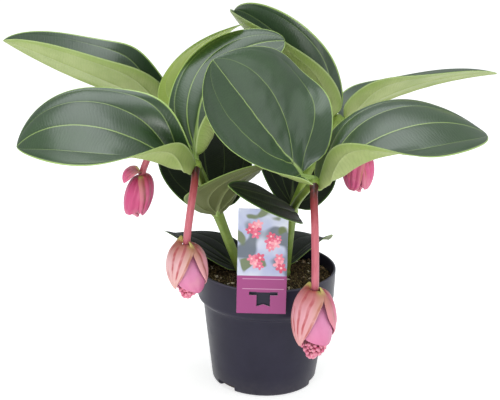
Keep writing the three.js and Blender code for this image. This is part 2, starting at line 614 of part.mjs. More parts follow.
const leftStem = stemLeft(0);
const rightStem = stemRight(0);
const leftClear = stemLeft(SEAT_GAP);
const rightClear = stemRight(SEAT_GAP);
const stalksClear = joined(BLOOMS.map((bloom) => peduncle(bloom, SEAT_GAP)));
const isLeft = (joint) => joint.endsWith('Left');

place('pot', pot(), MATERIALS.pot);
place('soil', largest(soil(leftClear.add(rightClear))), MATERIALS.soil);
place('label', tag(), MATERIALS.tag);
place('stem_left', leftStem, MATERIALS.stem);
place('stem_right', rightStem, MATERIALS.stem);

for (const leaf of LEAVES) {
  const clear = isLeft(leaf.joint) ? leftClear : rightClear;
  place(leaf.name, largest(blade(leaf).subtract(clear).subtract(stalksClear)), MATERIALS.leaf);
}

for (const bloom of BLOOMS) {
  const clear = isLeft(bloom.joint) ? leftClear : rightClear;
  const axisClear = peduncle(bloom, SEAT_GAP);
  const threaded = (solid) => largest(solid.subtract(axisClear));
  const { outer_1: first, outer_2: second, inner } = bloom.bracts;
  place(`peduncle_${bloom.name}`, largest(peduncle(bloom, 0).subtract(clear)), MATERIALS.peduncle);
  place(`bract_outer_${bloom.name}_1`, threaded(bract(bloom, first)), MATERIALS.bractOuter);
  place(`bract_outer_${bloom.name}_2`, threaded(bract(bloom, second)), MATERIALS.bractOuter);
  place(`bract_inner_${bloom.name}`, threaded(bract(bloom, inner)), MATERIALS.bractInner);
  place(`buds_${bloom.name}`, buds(bloom), MATERIALS.buds);
}

export default plant;
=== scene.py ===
# %% [markdown]
# # A medinilla in its nursery pot
# Fourteen broad, five-veined leaves stand in opposite pairs on two four-angled stems, and four rosy
# blooms hang from the stem tips. We build every piece in metres, straight in its place, so nothing has
# to be moved afterwards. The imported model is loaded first: it is the fixed frame that we dress.

import math

import bpy
import numpy as np
from mathutils import Matrix, Vector
from mathutils.noise import noise as noise_at


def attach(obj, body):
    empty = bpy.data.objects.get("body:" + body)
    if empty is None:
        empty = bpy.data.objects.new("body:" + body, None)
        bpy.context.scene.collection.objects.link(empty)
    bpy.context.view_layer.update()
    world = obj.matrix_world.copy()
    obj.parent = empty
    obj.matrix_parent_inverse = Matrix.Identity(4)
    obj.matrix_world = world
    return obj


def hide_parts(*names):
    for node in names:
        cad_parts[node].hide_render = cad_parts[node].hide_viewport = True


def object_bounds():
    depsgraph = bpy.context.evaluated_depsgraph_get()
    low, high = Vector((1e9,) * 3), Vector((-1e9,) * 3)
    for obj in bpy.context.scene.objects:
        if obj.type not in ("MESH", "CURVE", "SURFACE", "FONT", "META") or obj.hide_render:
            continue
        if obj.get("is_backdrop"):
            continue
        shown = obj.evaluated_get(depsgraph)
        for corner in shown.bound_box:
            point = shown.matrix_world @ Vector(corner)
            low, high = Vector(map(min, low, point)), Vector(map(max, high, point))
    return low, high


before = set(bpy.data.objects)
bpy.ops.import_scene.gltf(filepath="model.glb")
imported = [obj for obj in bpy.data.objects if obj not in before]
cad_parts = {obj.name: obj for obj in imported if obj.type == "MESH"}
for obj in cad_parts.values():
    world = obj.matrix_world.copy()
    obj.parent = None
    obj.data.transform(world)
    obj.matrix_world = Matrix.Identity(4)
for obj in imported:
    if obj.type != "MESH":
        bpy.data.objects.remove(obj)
cad_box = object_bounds()
MM = 0.001
print("nodes in the frame:", len(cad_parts))

# %% [markdown]
# ## Camera, floor and light
# The camera looks slightly down with a long lens, which keeps the pot's walls nearly parallel. Its axes
# are worked out by hand: look direction first, then right and up, turned by a small roll. A large pale
# floor fills the picture behind the plant, and big soft lamps give the long sheen on leaves and pot.

# %% Camera
CAMERA_AT = Vector((-0.022, -1.540, 0.737))
CAMERA_PITCH = math.radians(18.2)
CAMERA_ROLL = math.radians(1.26)
LENS = 96.7

look = Vector((0, math.cos(CAMERA_PITCH), -math.sin(CAMERA_PITCH)))
level_right = Vector((1, 0, 0))
level_up = level_right.cross(look)
right = math.cos(CAMERA_ROLL) * level_right + math.sin(CAMERA_ROLL) * level_up
up = -math.sin(CAMERA_ROLL) * level_right + math.cos(CAMERA_ROLL) * level_up
camera_data = bpy.data.cameras.new("camera")
camera_data.lens = LENS
camera = bpy.data.objects.new("camera", camera_data)
camera.matrix_world = Matrix((right, up, -look)).transposed().to_4x4()
camera.location = CAMERA_AT
bpy.context.scene.collection.objects.link(camera)
bpy.context.scene.camera = camera
bpy.context.scene.view_settings.view_transform = "Standard"
print("camera stands", round(CAMERA_AT.length, 2), "m from the pot's foot")

# %% Floor and lamps


def softbox(name, at, towards, width, height, power, colour=(1, 1, 1)):
    """A soft oblong lamp that faces a point."""
    data = bpy.data.lights.new(name, "AREA")
    data.shape = "RECTANGLE"
    data.size, data.size_y = width, height
    data.energy = power
    data.color = colour
    made = bpy.data.objects.new(name, data)
    made.location = at
    made.rotation_euler = (Vector(towards) - Vector(at)).to_track_quat("-Z", "Y").to_euler()
    bpy.context.scene.collection.objects.link(made)


floor_mesh = bpy.data.meshes.new("floor")
floor_mesh.from_pydata([(-9, -6, 0), (9, -6, 0), (9, 12, 0), (-9, 12, 0)], [], [(0, 1, 2, 3)])
floor = bpy.data.objects.new("floor", floor_mesh)
bpy.context.scene.collection.objects.link(floor)
floor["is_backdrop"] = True

softbox("top_softbox", (-0.25, 0.2, 2.4), (0, 0, 0.3), 2.2, 2.2, 31, (0.93, 0.97, 1.0))
softbox("side_softbox", (1.75, -0.95, 1.35), (0, 0, 0.3), 2.2, 1.8, 10, (0.93, 0.97, 1.0))
softbox("front_softbox", (-0.6, -2.3, 0.7), (0, 0, 0.25), 1.9, 0.9, 10)
softbox("strip_softbox", (-0.78, -1.62, 0.32), (0, 0, 0.1), 0.12, 0.8, 3.5)

world = bpy.data.worlds.new("studio")
world.use_nodes = True
world.node_tree.nodes["Background"].inputs["Color"].default_value = (0.94, 0.97, 1, 1)
world.node_tree.nodes["Background"].inputs["Strength"].default_value = 0.42
bpy.context.scene.world = world

# %% [markdown]
# ## Small helpers for node trees and meshes
# Node trees get long quickly, so the outputs of nodes are kept as wires. A wire knows its tree and takes
# part in sums: a plus, a minus or a product adds one Math node. Another helper turns lists of points and
# faces into an object. Each piece then goes through `finish_piece`, which says what it rides on and which
# solid it stands for.

# %% Helpers


class Wire:
    """An output socket that takes part in sums. Each operation adds one Math node to its tree."""

    def __init__(self, tree, socket):
        self.tree = tree
        self.socket = socket

    def math(self, operation, *others):
        return wire(self.tree, "ShaderNodeMath", (self, *others), operation=operation)

    def __add__(self, other):
        return self.math("ADD", other)

    def __sub__(self, other):
        return self.math("SUBTRACT", other)

    def __mul__(self, other):
        return self.math("MULTIPLY", other)

    def __truediv__(self, other):
        return self.math("DIVIDE", other)

    def __abs__(self):
        return self.math("ABSOLUTE")


def fill(socket, value):
    """Links a wire to a socket, or sets the socket's own value."""
    if isinstance(value, Wire):
        value.tree.links.new(value.socket, socket)
    else:
        socket.default_value = value


def node(tree, kind, inputs=(), **settings):
    """One node, with its settings applied and its inputs filled, in order or by key."""
    made = tree.nodes.new(kind)
    for key, value in settings.items():
        setattr(made, key, value)
    for key, value in inputs.items() if isinstance(inputs, dict) else enumerate(inputs):
        fill(made.inputs[key], value)
    return made


def wire(tree, kind, inputs=(), output=0, **settings):
    """One output of a new node."""
    return Wire(tree, node(tree, kind, inputs, **settings).outputs[output])


def wires(tree, made):
    """All outputs of a node by name."""
    return {socket.name: Wire(tree, socket) for socket in made.outputs}


def blend(factor, a, b):
    """Colour a where factor is 0 and b where it is 1."""
    a, b = (colour if isinstance(colour, Wire) else (*colour, 1) for colour in (a, b))
    return wire(factor.tree, "ShaderNodeMix", {0: factor, 6: a, 7: b}, output=2, data_type="RGBA")


def ramp(factor, stops):
    """A Color Ramp from (position, colour) stops."""
    made = node(factor.tree, "ShaderNodeValToRGB", (factor,))
    elements = made.color_ramp.elements
    while len(elements) < len(stops):
        elements.new(0.5)
    for element, (position, colour) in zip(elements, stops):
        element.position = position
        element.color = (*colour, 1)
    return Wire(factor.tree, made.outputs[0])


def step_between(value, low, high):
    """0 below low, 1 above high and smooth between, or the other way round if low is above high."""
    return wire(value.tree, "ShaderNodeMapRange", (value, low, high), interpolation_type="SMOOTHSTEP")


def bump(height, strength, distance):
    """The normal that a height map makes."""
    values = {"Height": height, "Strength": strength, "Distance": distance}
    return wire(height.tree, "ShaderNodeBump", values)


def object_point(tree):
    return wire(tree, "ShaderNodeTexCoord", output="Object")


def axis_mm(point, axis):
    """One coordinate of a point in millimetres."""
    return wire(point.tree, "ShaderNodeSeparateXYZ", (point,), output=axis) * 1000.0


def drawn_out(point, share):
    """The point with its height scaled, which draws a noise out into upright streaks."""
    return wire(point.tree, "ShaderNodeMapping", {"Vector": point, "Scale": (1.0, 1.0, share)})


def noise(point, scale, detail=3.0, roughness=0.5):
    values = {"Vector": point, "Scale": scale, "Detail": detail, "Roughness": roughness}
    return wire(point.tree, "ShaderNodeTexNoise", values)


def attribute(tree, name):
    return wire(tree, "ShaderNodeAttribute", output="Fac", attribute_name=name)


def paint(material, **sockets):
    """Fills the Principled shader's sockets by name. Underlines stand for spaces."""
    shader = material.node_tree.nodes["Principled BSDF"]
    for key, value in sockets.items():
        fill(shader.inputs[key.replace("_", " ")], value)


def new_material(name, **constants):
    """A material, its constants set on its Principled shader, and a wire of its object coordinates."""
    material = bpy.data.materials.new(name)
    material.use_nodes = True
    paint(material, **constants)
    return material, object_point(material.node_tree)


def mesh_object(name, points, faces, materials=(), face_materials=None, smooth=True):
    """A new object from points in metres and faces."""
    mesh = bpy.data.meshes.new(name)
    mesh.from_pydata([tuple(p) for p in points], [], [tuple(f) for f in faces])
    for material in materials:
        mesh.materials.append(material)
    if face_materials is not None:
        mesh.polygons.foreach_set("material_index", np.asarray(face_materials, np.int32))
    mesh.polygons.foreach_set("use_smooth", np.full(len(mesh.polygons), smooth))
    mesh.update()
    made = bpy.data.objects.new(name, mesh)
    bpy.context.scene.collection.objects.link(made)
    return made


def point_values(piece, name, values):
    """Stores one number for each vertex, for the materials to read."""
    layer = piece.data.attributes.new(name, "FLOAT", "POINT")
    layer.data.foreach_set("value", np.asarray(values, np.float32))


def applied(piece):
    """Turns a piece with live modifiers into a plain mesh."""
    bpy.context.view_layer.update()
    evaluated = piece.evaluated_get(bpy.context.evaluated_depsgraph_get())
    mesh = bpy.data.meshes.new_from_object(evaluated)
    piece.modifiers.clear()
    piece.data = mesh
    return piece


def finish_piece(piece, slot, *nodes):
    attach(piece, "root")
    if nodes:
        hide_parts(*nodes)


def unit(vectors):
    return vectors / np.linalg.norm(vectors, axis=-1, keepdims=True)


def wall_faces(rings, sides, flip=False):
    """Quads between rings of equally many points that lie one after another."""
    faces = []
    for low in range(0, (rings - 1) * sides, sides):
        for k in range(sides):
            n = (k + 1) % sides
            face = (low + k, low + n, low + sides + n, low + sides + k)
            faces.append((face[0], *face[:0:-1]) if flip else face)
    return faces


def bundle(parts):
    """Several (points, faces, values) joined in one list each."""
    points, faces, values = [], [], []
    for part_points, part_faces, part_values in parts:
        offset = sum(len(p) for p in points)
        points.append(np.asarray(part_points, float))
        faces += [tuple(offset + i for i in face) for face in part_faces]
        values += list(part_values)
    return np.vstack(points), faces, values


floor_material, _ = new_material("pale_floor", Base_Color=(0.85, 0.85, 0.85, 1), Roughness=0.9,
                                 Emission_Color=(1, 1, 1, 1), Emission_Strength=0.65)
floor_mesh.materials.append(floor_material)

# %% [markdown]
# ## Shader groups that several finishes share
# Plants and plastic both vary a little from place to place. `mottle` mixes two colours by a soft noise,
# and `fine_grain` gives a small height for a Bump node. Each is built once and used with its own values.

# %% Shared shader groups


def shader_group(name, **inputs):
    """An empty shader group and its input wires. An input that starts as None is a vector."""
    kinds = {float: "NodeSocketFloat", tuple: "NodeSocketColor", type(None): "NodeSocketVector"}
    tree = bpy.data.node_groups.new(name, "ShaderNodeTree")
    for label, value in inputs.items():
        socket = tree.interface.new_socket(label.replace("_", " "), in_out="INPUT",
                                           socket_type=kinds[type(value)])
        if value is not None:
            socket.default_value = value
    return tree, wires(tree, tree.nodes.new("NodeGroupInput"))


def give_out(tree, **results):
    """Adds a group's outputs, each fed by a wire."""
    sink = tree.nodes.new("NodeGroupOutput")
    for label, value in results.items():
        kind = "NodeSocketColor" if value.socket.type == "RGBA" else "NodeSocketFloat"
        label = label.replace("_", " ")
        tree.interface.new_socket(label, in_out="OUTPUT", socket_type=kind)
        fill(sink.inputs[label], value)


def placed(tree, group, **inputs):
    """The outputs, by name, of a group placed in a tree."""
    values = {key.replace("_", " "): value for key, value in inputs.items()}
    return wires(tree, node(tree, "ShaderNodeGroup", values, node_tree=group))


mottle, given = shader_group("mottle", Point=None, Colour_A=(0, 0, 0, 1), Colour_B=(1, 1, 1, 1), Scale=40.0,
                             Spread=0.25)
half_less = wire(mottle, "ShaderNodeMath", (0.5, given["Spread"]), operation="SUBTRACT")
mask = step_between(noise(given["Point"], given["Scale"], 4.0, 0.6), half_less, given["Spread"] + 0.5)
give_out(mottle, Colour=blend(mask, given["Colour A"], given["Colour B"]))

fine_grain, given = shader_group("fine_grain", Point=None, Scale=900.0, Coarse_Share=0.4)
fine = noise(given["Point"], given["Scale"], 3.0, 0.7)
coarse = noise(given["Point"], given["Scale"] * 0.12, 2.0)
give_out(fine_grain, Height=fine + coarse * given["Coarse Share"])


def mottled(point, dark, light, scale, spread):
    """A colour that wanders between dark and light."""
    return placed(point.tree, mottle, Point=point, Colour_A=(*dark, 1), Colour_B=(*light, 1), Scale=scale,
                  Spread=spread)["Colour"]


def grain(point, scale, coarse_share):
    return placed(point.tree, fine_grain, Point=point, Scale=scale, Coarse_Share=coarse_share)["Height"]


def two_tone(name, dark, light, scale, spread, **constants):
    """A material with nothing but a mottled colour."""
    material, point = new_material(name, **constants)
    paint(material, Base_Color=mottled(point, dark, light, scale, spread))
    return material


print("shader groups:", [g.name for g in bpy.data.node_groups if g.type == "SHADER"])

# %% [markdown]
# ## The pot
# A blow-moulded nursery pot: a tapering wall, a wider band at the rim, a soft shoulder below the band and
# a rounded foot. A turned shape is quickest as a profile spun round the axis. The foot has three notches
# with drain holes, which Boolean modifiers cut as the mould's cores do.

# %% Pot shape
POT_HEIGHT = 147
RIM_RADIUS = 85
BASE_RADIUS = 64.5
POT_WALL = 2
RECESS_AZIMUTHS = (103, 223, 343)
RECESS_SPAN = 26
RECESS_DEPTH = 10
RECESS_HEIGHT = 8
RECESS_OVERSHOOT = 6
DRAIN_RADIUS = 3.5
POT_SEGMENTS = 144

OUTER_WALL = [
    (0, 0), (56, 0), (59.5, 0.1), (61.6, 0.6), (63.0, 1.5), (64.0, 3.0), (64.5, 5),
    (67.5, 28.5), (70.5, 52), (73.6, 76), (76.4, 98.6), (77, 103), (77.7, 104.9), (79.0, 106.2),
    (81.4, 107.6), (83.0, 109.4), (83.8, 111.6), (84, 113.4), (84.05, 115), (84.3, 124), (84.7, 136),
    (84.95, 144.6), (84.9, 145.9), (84.6, 146.7), (84.1, 147), (0, 147),
]
HOLLOW = [
    (0, 3), (58, 3), (61, 3.8), (62, 6), (68.5, 52), (74.6, 100), (75.4, 103.5), (77.6, 106.8),
    (80.0, 110.4), (80.7, 115), (81.3, 131), (81.9, 145.6), (82.5, 146.6), (83.2, 148.2), (0, 148.2),
]


def turned(name, profile, segments=POT_SEGMENTS):
    """A solid of revolution from (radius, height) points in millimetres, closed on the axis."""
    angles = np.arange(segments) * 2 * math.pi / segments
    points, rings = [], []
    for radius, height in profile:
        if radius == 0:
            rings.append([len(points)] * segments)
            points.append((0, 0, height * MM))
            continue
        rings.append(list(range(len(points), len(points) + segments)))
        points += [(radius * MM * math.cos(a), radius * MM * math.sin(a), height * MM) for a in angles]
    faces = []
    for low_ring, high_ring in zip(rings, rings[1:]):
        for k in range(segments):
            n = (k + 1) % segments
            corners = [low_ring[k], low_ring[n], high_ring[n], high_ring[k]]
            faces.append(tuple(dict.fromkeys(corners)))
    return mesh_object(name, points, faces)


def prism(name, outline, low, high):
    """An upright block over a plan outline, all in millimetres."""
    count = len(outline)
    points = [(x * MM, y * MM, z * MM) for z in (low, high) for x, y in outline]
    faces = [tuple(range(count))[::-1], tuple(range(count, 2 * count))]
    faces += [(k, (k + 1) % count, count + (k + 1) % count, count + k) for k in range(count)]
    return mesh_object(name, points, faces, smooth=False)


def cut(piece, tools):
    """Cuts tools out of a piece and removes them."""
    for tool in tools:
        modifier = piece.modifiers.new(tool.name, "BOOLEAN")
        modifier.operation = "DIFFERENCE"
        modifier.solver = "EXACT"
        modifier.object = tool
    applied(piece)
    for tool in tools:
        bpy.data.objects.remove(tool)


def arc(radius, angles, middle=(0, 0)):
    return [(middle[0] + radius * math.cos(a), middle[1] + radius * math.sin(a)) for a in angles]


def recess_tools(grow):
    """Wedges under the foot; grow thickens them."""
    half = math.radians(RECESS_SPAN / 2) + grow / BASE_RADIUS
    tools = []
    for azimuth in RECESS_AZIMUTHS:
        sweep = np.linspace(-half, half, 13) + math.radians(azimuth)
        outline = arc(BASE_RADIUS + RECESS_OVERSHOOT, sweep)
        outline += arc(BASE_RADIUS - RECESS_DEPTH - grow, sweep[::-1])
        tools.append(prism(f"recess_{azimuth}", outline, -1, RECESS_HEIGHT + grow))
    return tools


def drain_tools():
    away = BASE_RADIUS - RECESS_DEPTH + DRAIN_RADIUS
    turns = np.arange(20) * math.pi / 10
    tools = []
    for azimuth in RECESS_AZIMUTHS:
        middle = arc(away, [math.radians(azimuth)])[0]
        tools.append(prism(f"drain_{azimuth}", arc(DRAIN_RADIUS, turns, middle), -2, 10))
    return tools


pot = turned("nursery_pot", OUTER_WALL)
hollow = turned("hollow", HOLLOW)
cut(hollow, recess_tools(POT_WALL))
cut(pot, recess_tools(0) + [hollow] + drain_tools())
pot.data.set_sharp_from_angle(angle=math.radians(38))
print("pot faces:", len(pot.data.polygons))

# %% [markdown]
# The plastic is a dark slate with a breath of purple, moulded satin. A little dust from the potting bench
# clings near the foot, a lighter band along the rim's top edge is a painted highlight, and a fine grain
# breaks up the sheen.

# %% Pot plastic
pot_plastic, point = new_material("slate_purple_plastic", Specular_IOR_Level=0.2)
height_mm = axis_mm(point, 2)
colour = mottled(point, (0.018, 0.0165, 0.031), (0.025, 0.0225, 0.042), 22.0, 0.3)
# painted highlight: a lighter band along the rim's top edge
colour = blend(step_between(height_mm, 144.5, 147.0) * 0.35, colour, (0.20, 0.19, 0.25))
dust = step_between(height_mm, 30.0, 0.0) * noise(point, 160.0, 5.0)
colour = blend(dust * 0.30, colour, (0.13, 0.12, 0.12))
scuff = step_between(noise(point, 55.0, 6.0, 0.7), 0.45, 0.75)
paint(pot_plastic, Base_Color=colour, Roughness=scuff * 0.12 + 0.34,
      Normal=bump(grain(point, 1400.0, 0.5), 0.12, 0.0004))
pot.data.materials.clear()
pot.data.materials.append(pot_plastic)
finish_piece(pot, "pot_plastic", "pot")
print("pot finish:", pot_plastic.name)

# %% [markdown]
# ## Peat
# The pot is filled to a finger's width below the rim. The surface is a disc that dips a little at the
# wall and ripples; peat only looks like peat once loose crumbs lie on it, so Geometry Nodes scatter small
# lumps over the surface, with a few pale chips of bark and perlite, all from fixed seeds.

# %% Peat body
SOIL_LEVEL = 134
SOIL_EDGE_DROP = 3
SOIL_RIPPLE = 0.9
SOIL_RADIUS = 81.2
SOIL_RINGS = 44
SOIL_SPOKES = 120


def soil_height(x, y):
    """Height of the peat's surface, in millimetres."""
    edge = SOIL_EDGE_DROP * (np.hypot(x, y) / RIM_RADIUS) ** 4
    ripple = np.sin(x / 7 + 1) * np.cos(y / 9) + 0.6 * np.sin((x + y) / 4.3)
    rough = 0.35 * np.sin(x * 1.7 + 2 * np.sin(y * 0.9)) * np.cos(y * 1.3 + np.sin(x * 1.1))
    return SOIL_LEVEL - edge + SOIL_RIPPLE * ripple + rough


radii = SOIL_RADIUS * np.linspace(0, 1, SOIL_RINGS + 1)[1:]
spokes = np.arange(SOIL_SPOKES) * 2 * math.pi / SOIL_SPOKES
plan_x = np.outer(radii, np.cos(spokes)).ravel()
plan_y = np.outer(radii, np.sin(spokes)).ravel()
soil_points = [(0, 0, float(soil_height(np.float64(0), np.float64(0))) * MM)]
soil_points += list(zip(plan_x * MM, plan_y * MM, soil_height(plan_x, plan_y) * MM))
WALL_INSIDE = [(80.3, 118), (80.0, 113), (74.5, 103), (68.2, 52), (61.4, 8), (60, 3.4)]
for radius, height in WALL_INSIDE:
    soil_points += [(radius * MM * math.cos(a), radius * MM * math.sin(a), height * MM) for a in spokes]
soil_points.append((0, 0, 3.4 * MM))
soil_faces = []
for k in range(SOIL_SPOKES):
    n = (k + 1) % SOIL_SPOKES
    soil_faces.append((0, 1 + k, 1 + n))
    for ring in range(SOIL_RINGS - 1 + len(WALL_INSIDE)):
        low_ring, high_ring = 1 + ring * SOIL_SPOKES, 1 + (ring + 1) * SOIL_SPOKES
        soil_faces.append((low_ring + k, high_ring + k, high_ring + n, low_ring + n))
    last = len(soil_points) - 1 - SOIL_SPOKES
    soil_faces.append((last + k, len(soil_points) - 1, last + n))
peat = mesh_object("peat", soil_points, soil_faces)
print("peat faces:", len(peat.data.polygons))

# %% [markdown]
# Damp peat is nearly black-brown with lighter fibres. A coarse noise gives clods, a finer one the fibres,
# and a grain drives the bump.

# %% Peat finish


def peat_finish(name, dark, light):
    material, point = new_material(name, Roughness=0.95, Specular_IOR_Level=0.2)
    fibres = step_between(noise(point, 1100.0, 4.0, 0.7), 0.58, 0.75)
    colour = blend(fibres * 0.5, mottled(point, dark, light, 260.0, 0.2), (0.20, 0.115, 0.055))
    paint(material, Base_Color=colour, Normal=bump(grain(point, 900.0, 0.8), 0.8, 0.002))
    return material


damp_peat = peat_finish("damp_peat", (0.016, 0.010, 0.006), (0.080, 0.052, 0.028))
crumb_peat = peat_finish("peat_crumbs", (0.030, 0.020, 0.011), (0.22, 0.15, 0.075))
straw_peat = peat_finish("straw_crumbs", (0.20, 0.15, 0.065), (0.48, 0.40, 0.19))
pale_chip, point = new_material("bark_and_perlite", Roughness=0.85)
paint(pale_chip, Base_Color=mottled(point, (0.42, 0.28, 0.16), (0.70, 0.62, 0.50), 70.0, 0.06),
      Normal=bump(noise(point, 700.0, 4.0), 0.5, 0.001))
peat.data.materials.append(damp_peat)

# %% Crumbs by Geometry Nodes
FLOAT, INT, MATERIAL = "NodeSocketFloat", "NodeSocketInt", "NodeSocketMaterial"
GEOMETRY = "NodeSocketGeometry"


def geometry_group(name, inputs):
    """A Geometry Nodes tree with named inputs: the tree, its input wires and their identifiers."""
    tree = bpy.data.node_groups.new(name, "GeometryNodeTree")
    identifiers = {}
    for label, kind in (("Geometry", GEOMETRY), *inputs):
        identifiers[label] = tree.interface.new_socket(label, in_out="INPUT", socket_type=kind).identifier
    tree.interface.new_socket("Geometry", in_out="OUTPUT", socket_type=GEOMETRY)
    return tree, wires(tree, tree.nodes.new("NodeGroupInput")), identifiers


def random_float(low, high, seed):
    values = {2: low, 3: high, "Seed": seed}
    return wire(seed.tree, "FunctionNodeRandomValue", values, output=1, data_type="FLOAT")


def instances(points, shape, **placing):
    """A shape set on every point, as real geometry."""
    values = {"Points": points, "Instance": shape, **placing}
    return wire(points.tree, "GeometryNodeRealizeInstances", (
        wire(points.tree, "GeometryNodeInstanceOnPoints", values),))


def painted(geometry, finish):
    values = {"Geometry": geometry, "Material": finish}
    return wire(geometry.tree, "GeometryNodeSetMaterial", values)


def grown(host, tree, identifiers, values):
    """Runs a Geometry Nodes tree on a host object, with its inputs set, and keeps the plain mesh."""
    modifier = host.modifiers.new(tree.name, "NODES")
    modifier.node_group = tree
    for label, value in values.items():
        modifier[identifiers[label]] = value
    applied(host)


scatter, given, scatter_inputs = geometry_group(
    "scatter_lumps",
    [("Density", FLOAT), ("Lump Size", FLOAT), ("Flatness", FLOAT), ("Seed", INT), ("Finish", MATERIAL)],
)
normal_z = wire(scatter, "ShaderNodeSeparateXYZ", (wire(scatter, "GeometryNodeInputNormal"),), output=2)
upward = wire(scatter, "FunctionNodeCompare", (normal_z, 0.6), operation="GREATER_THAN")
spread_points = wire(scatter, "GeometryNodeDistributePointsOnFaces", {
    "Mesh": given["Geometry"], "Selection": upward, "Density": given["Density"], "Seed": given["Seed"]})
lump = wire(scatter, "GeometryNodeMeshIcoSphere", {"Radius": 1.0, "Subdivisions": 1})
turn = wire(scatter, "FunctionNodeRandomValue", {
    0: (0.0,) * 3, 1: (6.28,) * 3, "Seed": given["Seed"]}, data_type="FLOAT_VECTOR")
size = random_float(0.35, 1.0, given["Seed"]) * given["Lump Size"]
shape = wire(scatter, "ShaderNodeCombineXYZ", (size, size * 0.7, size * given["Flatness"]))
lumps = instances(spread_points, lump, Rotation=turn, Scale=shape)
wobble = wire(scatter, "ShaderNodeTexNoise", {
    "Vector": wire(scatter, "GeometryNodeInputPosition"), "Scale": 420.0, "Detail": 1.0}, output="Color")
centred = wire(scatter, "ShaderNodeVectorMath", (wobble, (0.5, 0.5, 0.5)), operation="SUBTRACT")
offset = wire(scatter, "ShaderNodeVectorMath", {0: centred, "Scale": 0.0022}, operation="SCALE")
moved = wire(scatter, "GeometryNodeSetPosition", {"Geometry": lumps, "Offset": offset})
node(scatter, "NodeGroupOutput", (painted(moved, given["Finish"]),))

for name, density, lump_size, flatness, seed, finish in (
        ("peat_crumbs", 90000.0, 2.1 * MM, 0.8, 4, crumb_peat),
        ("straw_crumbs", 60000.0, 1.1 * MM, 0.7, 21, straw_peat),
        ("pale_chips", 4200.0, 3.6 * MM, 0.4, 9, pale_chip)):
    host = peat.copy()
    host.data = peat.data.copy()
    host.name = name
    bpy.context.scene.collection.objects.link(host)
    grown(host, scatter, scatter_inputs, {"Density": density, "Lump Size": lump_size,
                                          "Flatness": flatness, "Seed": seed, "Finish": finish})
    finish_piece(host, "soil")
    print(name, "faces:", len(host.data.polygons))
finish_piece(peat, "soil", "soil")

# %% [markdown]
# ## Paths and stalks
# Stems and flower stalks are rods along smooth paths. The path is a centripetal Catmull-Rom curve, which
# passes through every given point without overshooting, and is walked in equal steps of length. Frames
# carried along the path without twist keep a four-angled section from turning.

# %% Rods along a path


def smooth_path(points, steps):
    """Points at equal distances on a centripetal Catmull-Rom curve through the given points."""
    given = np.asarray(points, float)
    before, after = 2 * given[0] - given[1], 2 * given[-1] - given[-2]
    ends = np.vstack([before, given, after])
    dense = []
    for k in range(len(given) - 1):
        p0, p1, p2, p3 = ends[k:k + 4]
        gaps = [max(np.linalg.norm(b - a) ** 0.5, 1e-4) for a, b in ((p0, p1), (p1, p2), (p2, p3))]
        start = ((p1 - p0) / gaps[0] - (p2 - p0) / (gaps[0] + gaps[1]) + (p2 - p1) / gaps[1]) * gaps[1]
        end = ((p2 - p1) / gaps[1] - (p3 - p1) / (gaps[1] + gaps[2]) + (p3 - p2) / gaps[2]) * gaps[1]
        s = np.linspace(0, 1, 60, endpoint=False)[:, None]
        dense.append(p1 + start * s + (3 * (p2 - p1) - 2 * start - end) * s ** 2
                     + (2 * (p1 - p2) + start + end) * s ** 3)
    dense = np.vstack([*dense, given[-1:]])
    length = np.concatenate([[0], np.cumsum(np.linalg.norm(np.diff(dense, axis=0), axis=1))])
    wanted = np.linspace(0, length[-1], steps + 1)
    return np.stack([np.interp(wanted, length, dense[:, k]) for k in range(3)], axis=1)


def carried_frames(path):
    """Normal and binormal at each point, carried along without twist."""
    tangents = unit(np.gradient(path, axis=0))
    first = np.zeros(3)
    first[int(np.argmin(np.abs(tangents[0])))] = 1
    across = unit(np.cross(tangents[0], first))
    normals = [np.cross(tangents[0], across)]
    for tangent in tangents[1:]:
        normals.append(unit(normals[-1] - tangent * np.dot(tangent, normals[-1])))
    normals = np.array(normals)
    return normals, np.cross(tangents, normals)


def rod_mesh(points, radius_at, steps, sides):
    """A closed tube: radius_at(share of length, angle) in millimetres. Gives points, faces and shares."""
    path = smooth_path(points, steps)
    normals, binormals = carried_frames(path)
    angles = np.arange(sides) * 2 * math.pi / sides
    shares = np.linspace(0, 1, steps + 1)
    vertices, along = [], []
    for k, share in enumerate(shares):
        radii = radius_at(share, angles) * np.ones(sides)
        ring = path[k] + radii[:, None] * (np.cos(angles)[:, None] * normals[k]
                                           + np.sin(angles)[:, None] * binormals[k])
        vertices.append(ring)
        along += [share] * sides
    faces = wall_faces(steps + 1, sides)
    vertices = np.vstack([*vertices, path[:1], path[-1:]])
    along += [0, 1]
    start, end = len(vertices) - 2, len(vertices) - 1
    for s in range(sides):
        n = (s + 1) % sides
        faces.append((n, s, start))
        faces.append((steps * sides + s, steps * sides + n, end))
    return vertices, faces, along

# %% [markdown]
# ## Stems
# A medinilla's stem is four-angled, with narrow corky wings on its corners, and swells into a knob where
# each pair of leaves sits. The section's radius follows a cosine of four times the angle, and the knobs
# are lumps grown over the joints. The finish is yellow-green with brown corky flecks.

# %% Stem shape
JOINTS = {
    "footLeft": (-29.8, 0, 133.4), "footRight": (23, 5, 136.6),
    "forkLeft": (-61.4, -10, 219), "forkRight": (28.8, -8, 220.5),
    "tipFrontLeft": (-85, -57, 290.4), "tipBackLeft": (-123, 84, 321.4),
    "tipFrontRight": (50.2, -85, 281.8), "tipBackRight": (84.3, 64, 316),
}
JOINTS = {name: np.array(at, float) for name, at in JOINTS.items()}
BOWS = {"tipFrontLeft": (-76, -22, 250), "tipBackLeft": (-84, 18, 262),
        "tipFrontRight": (36, -40, 247), "tipBackRight": (48, 20, 262)}
STEM_RADIUS = 5.4
BRANCH_RADIUS = 4.6
KNOB_RADIUS = 8.2
FOOT_KNOB_RADIUS = 7.4
TIP_KNOB_RADIUS = 7.6
ROOT_DEPTH = 38
END_SWELL = 0.25
WELD_DISTANCE = 1e-6


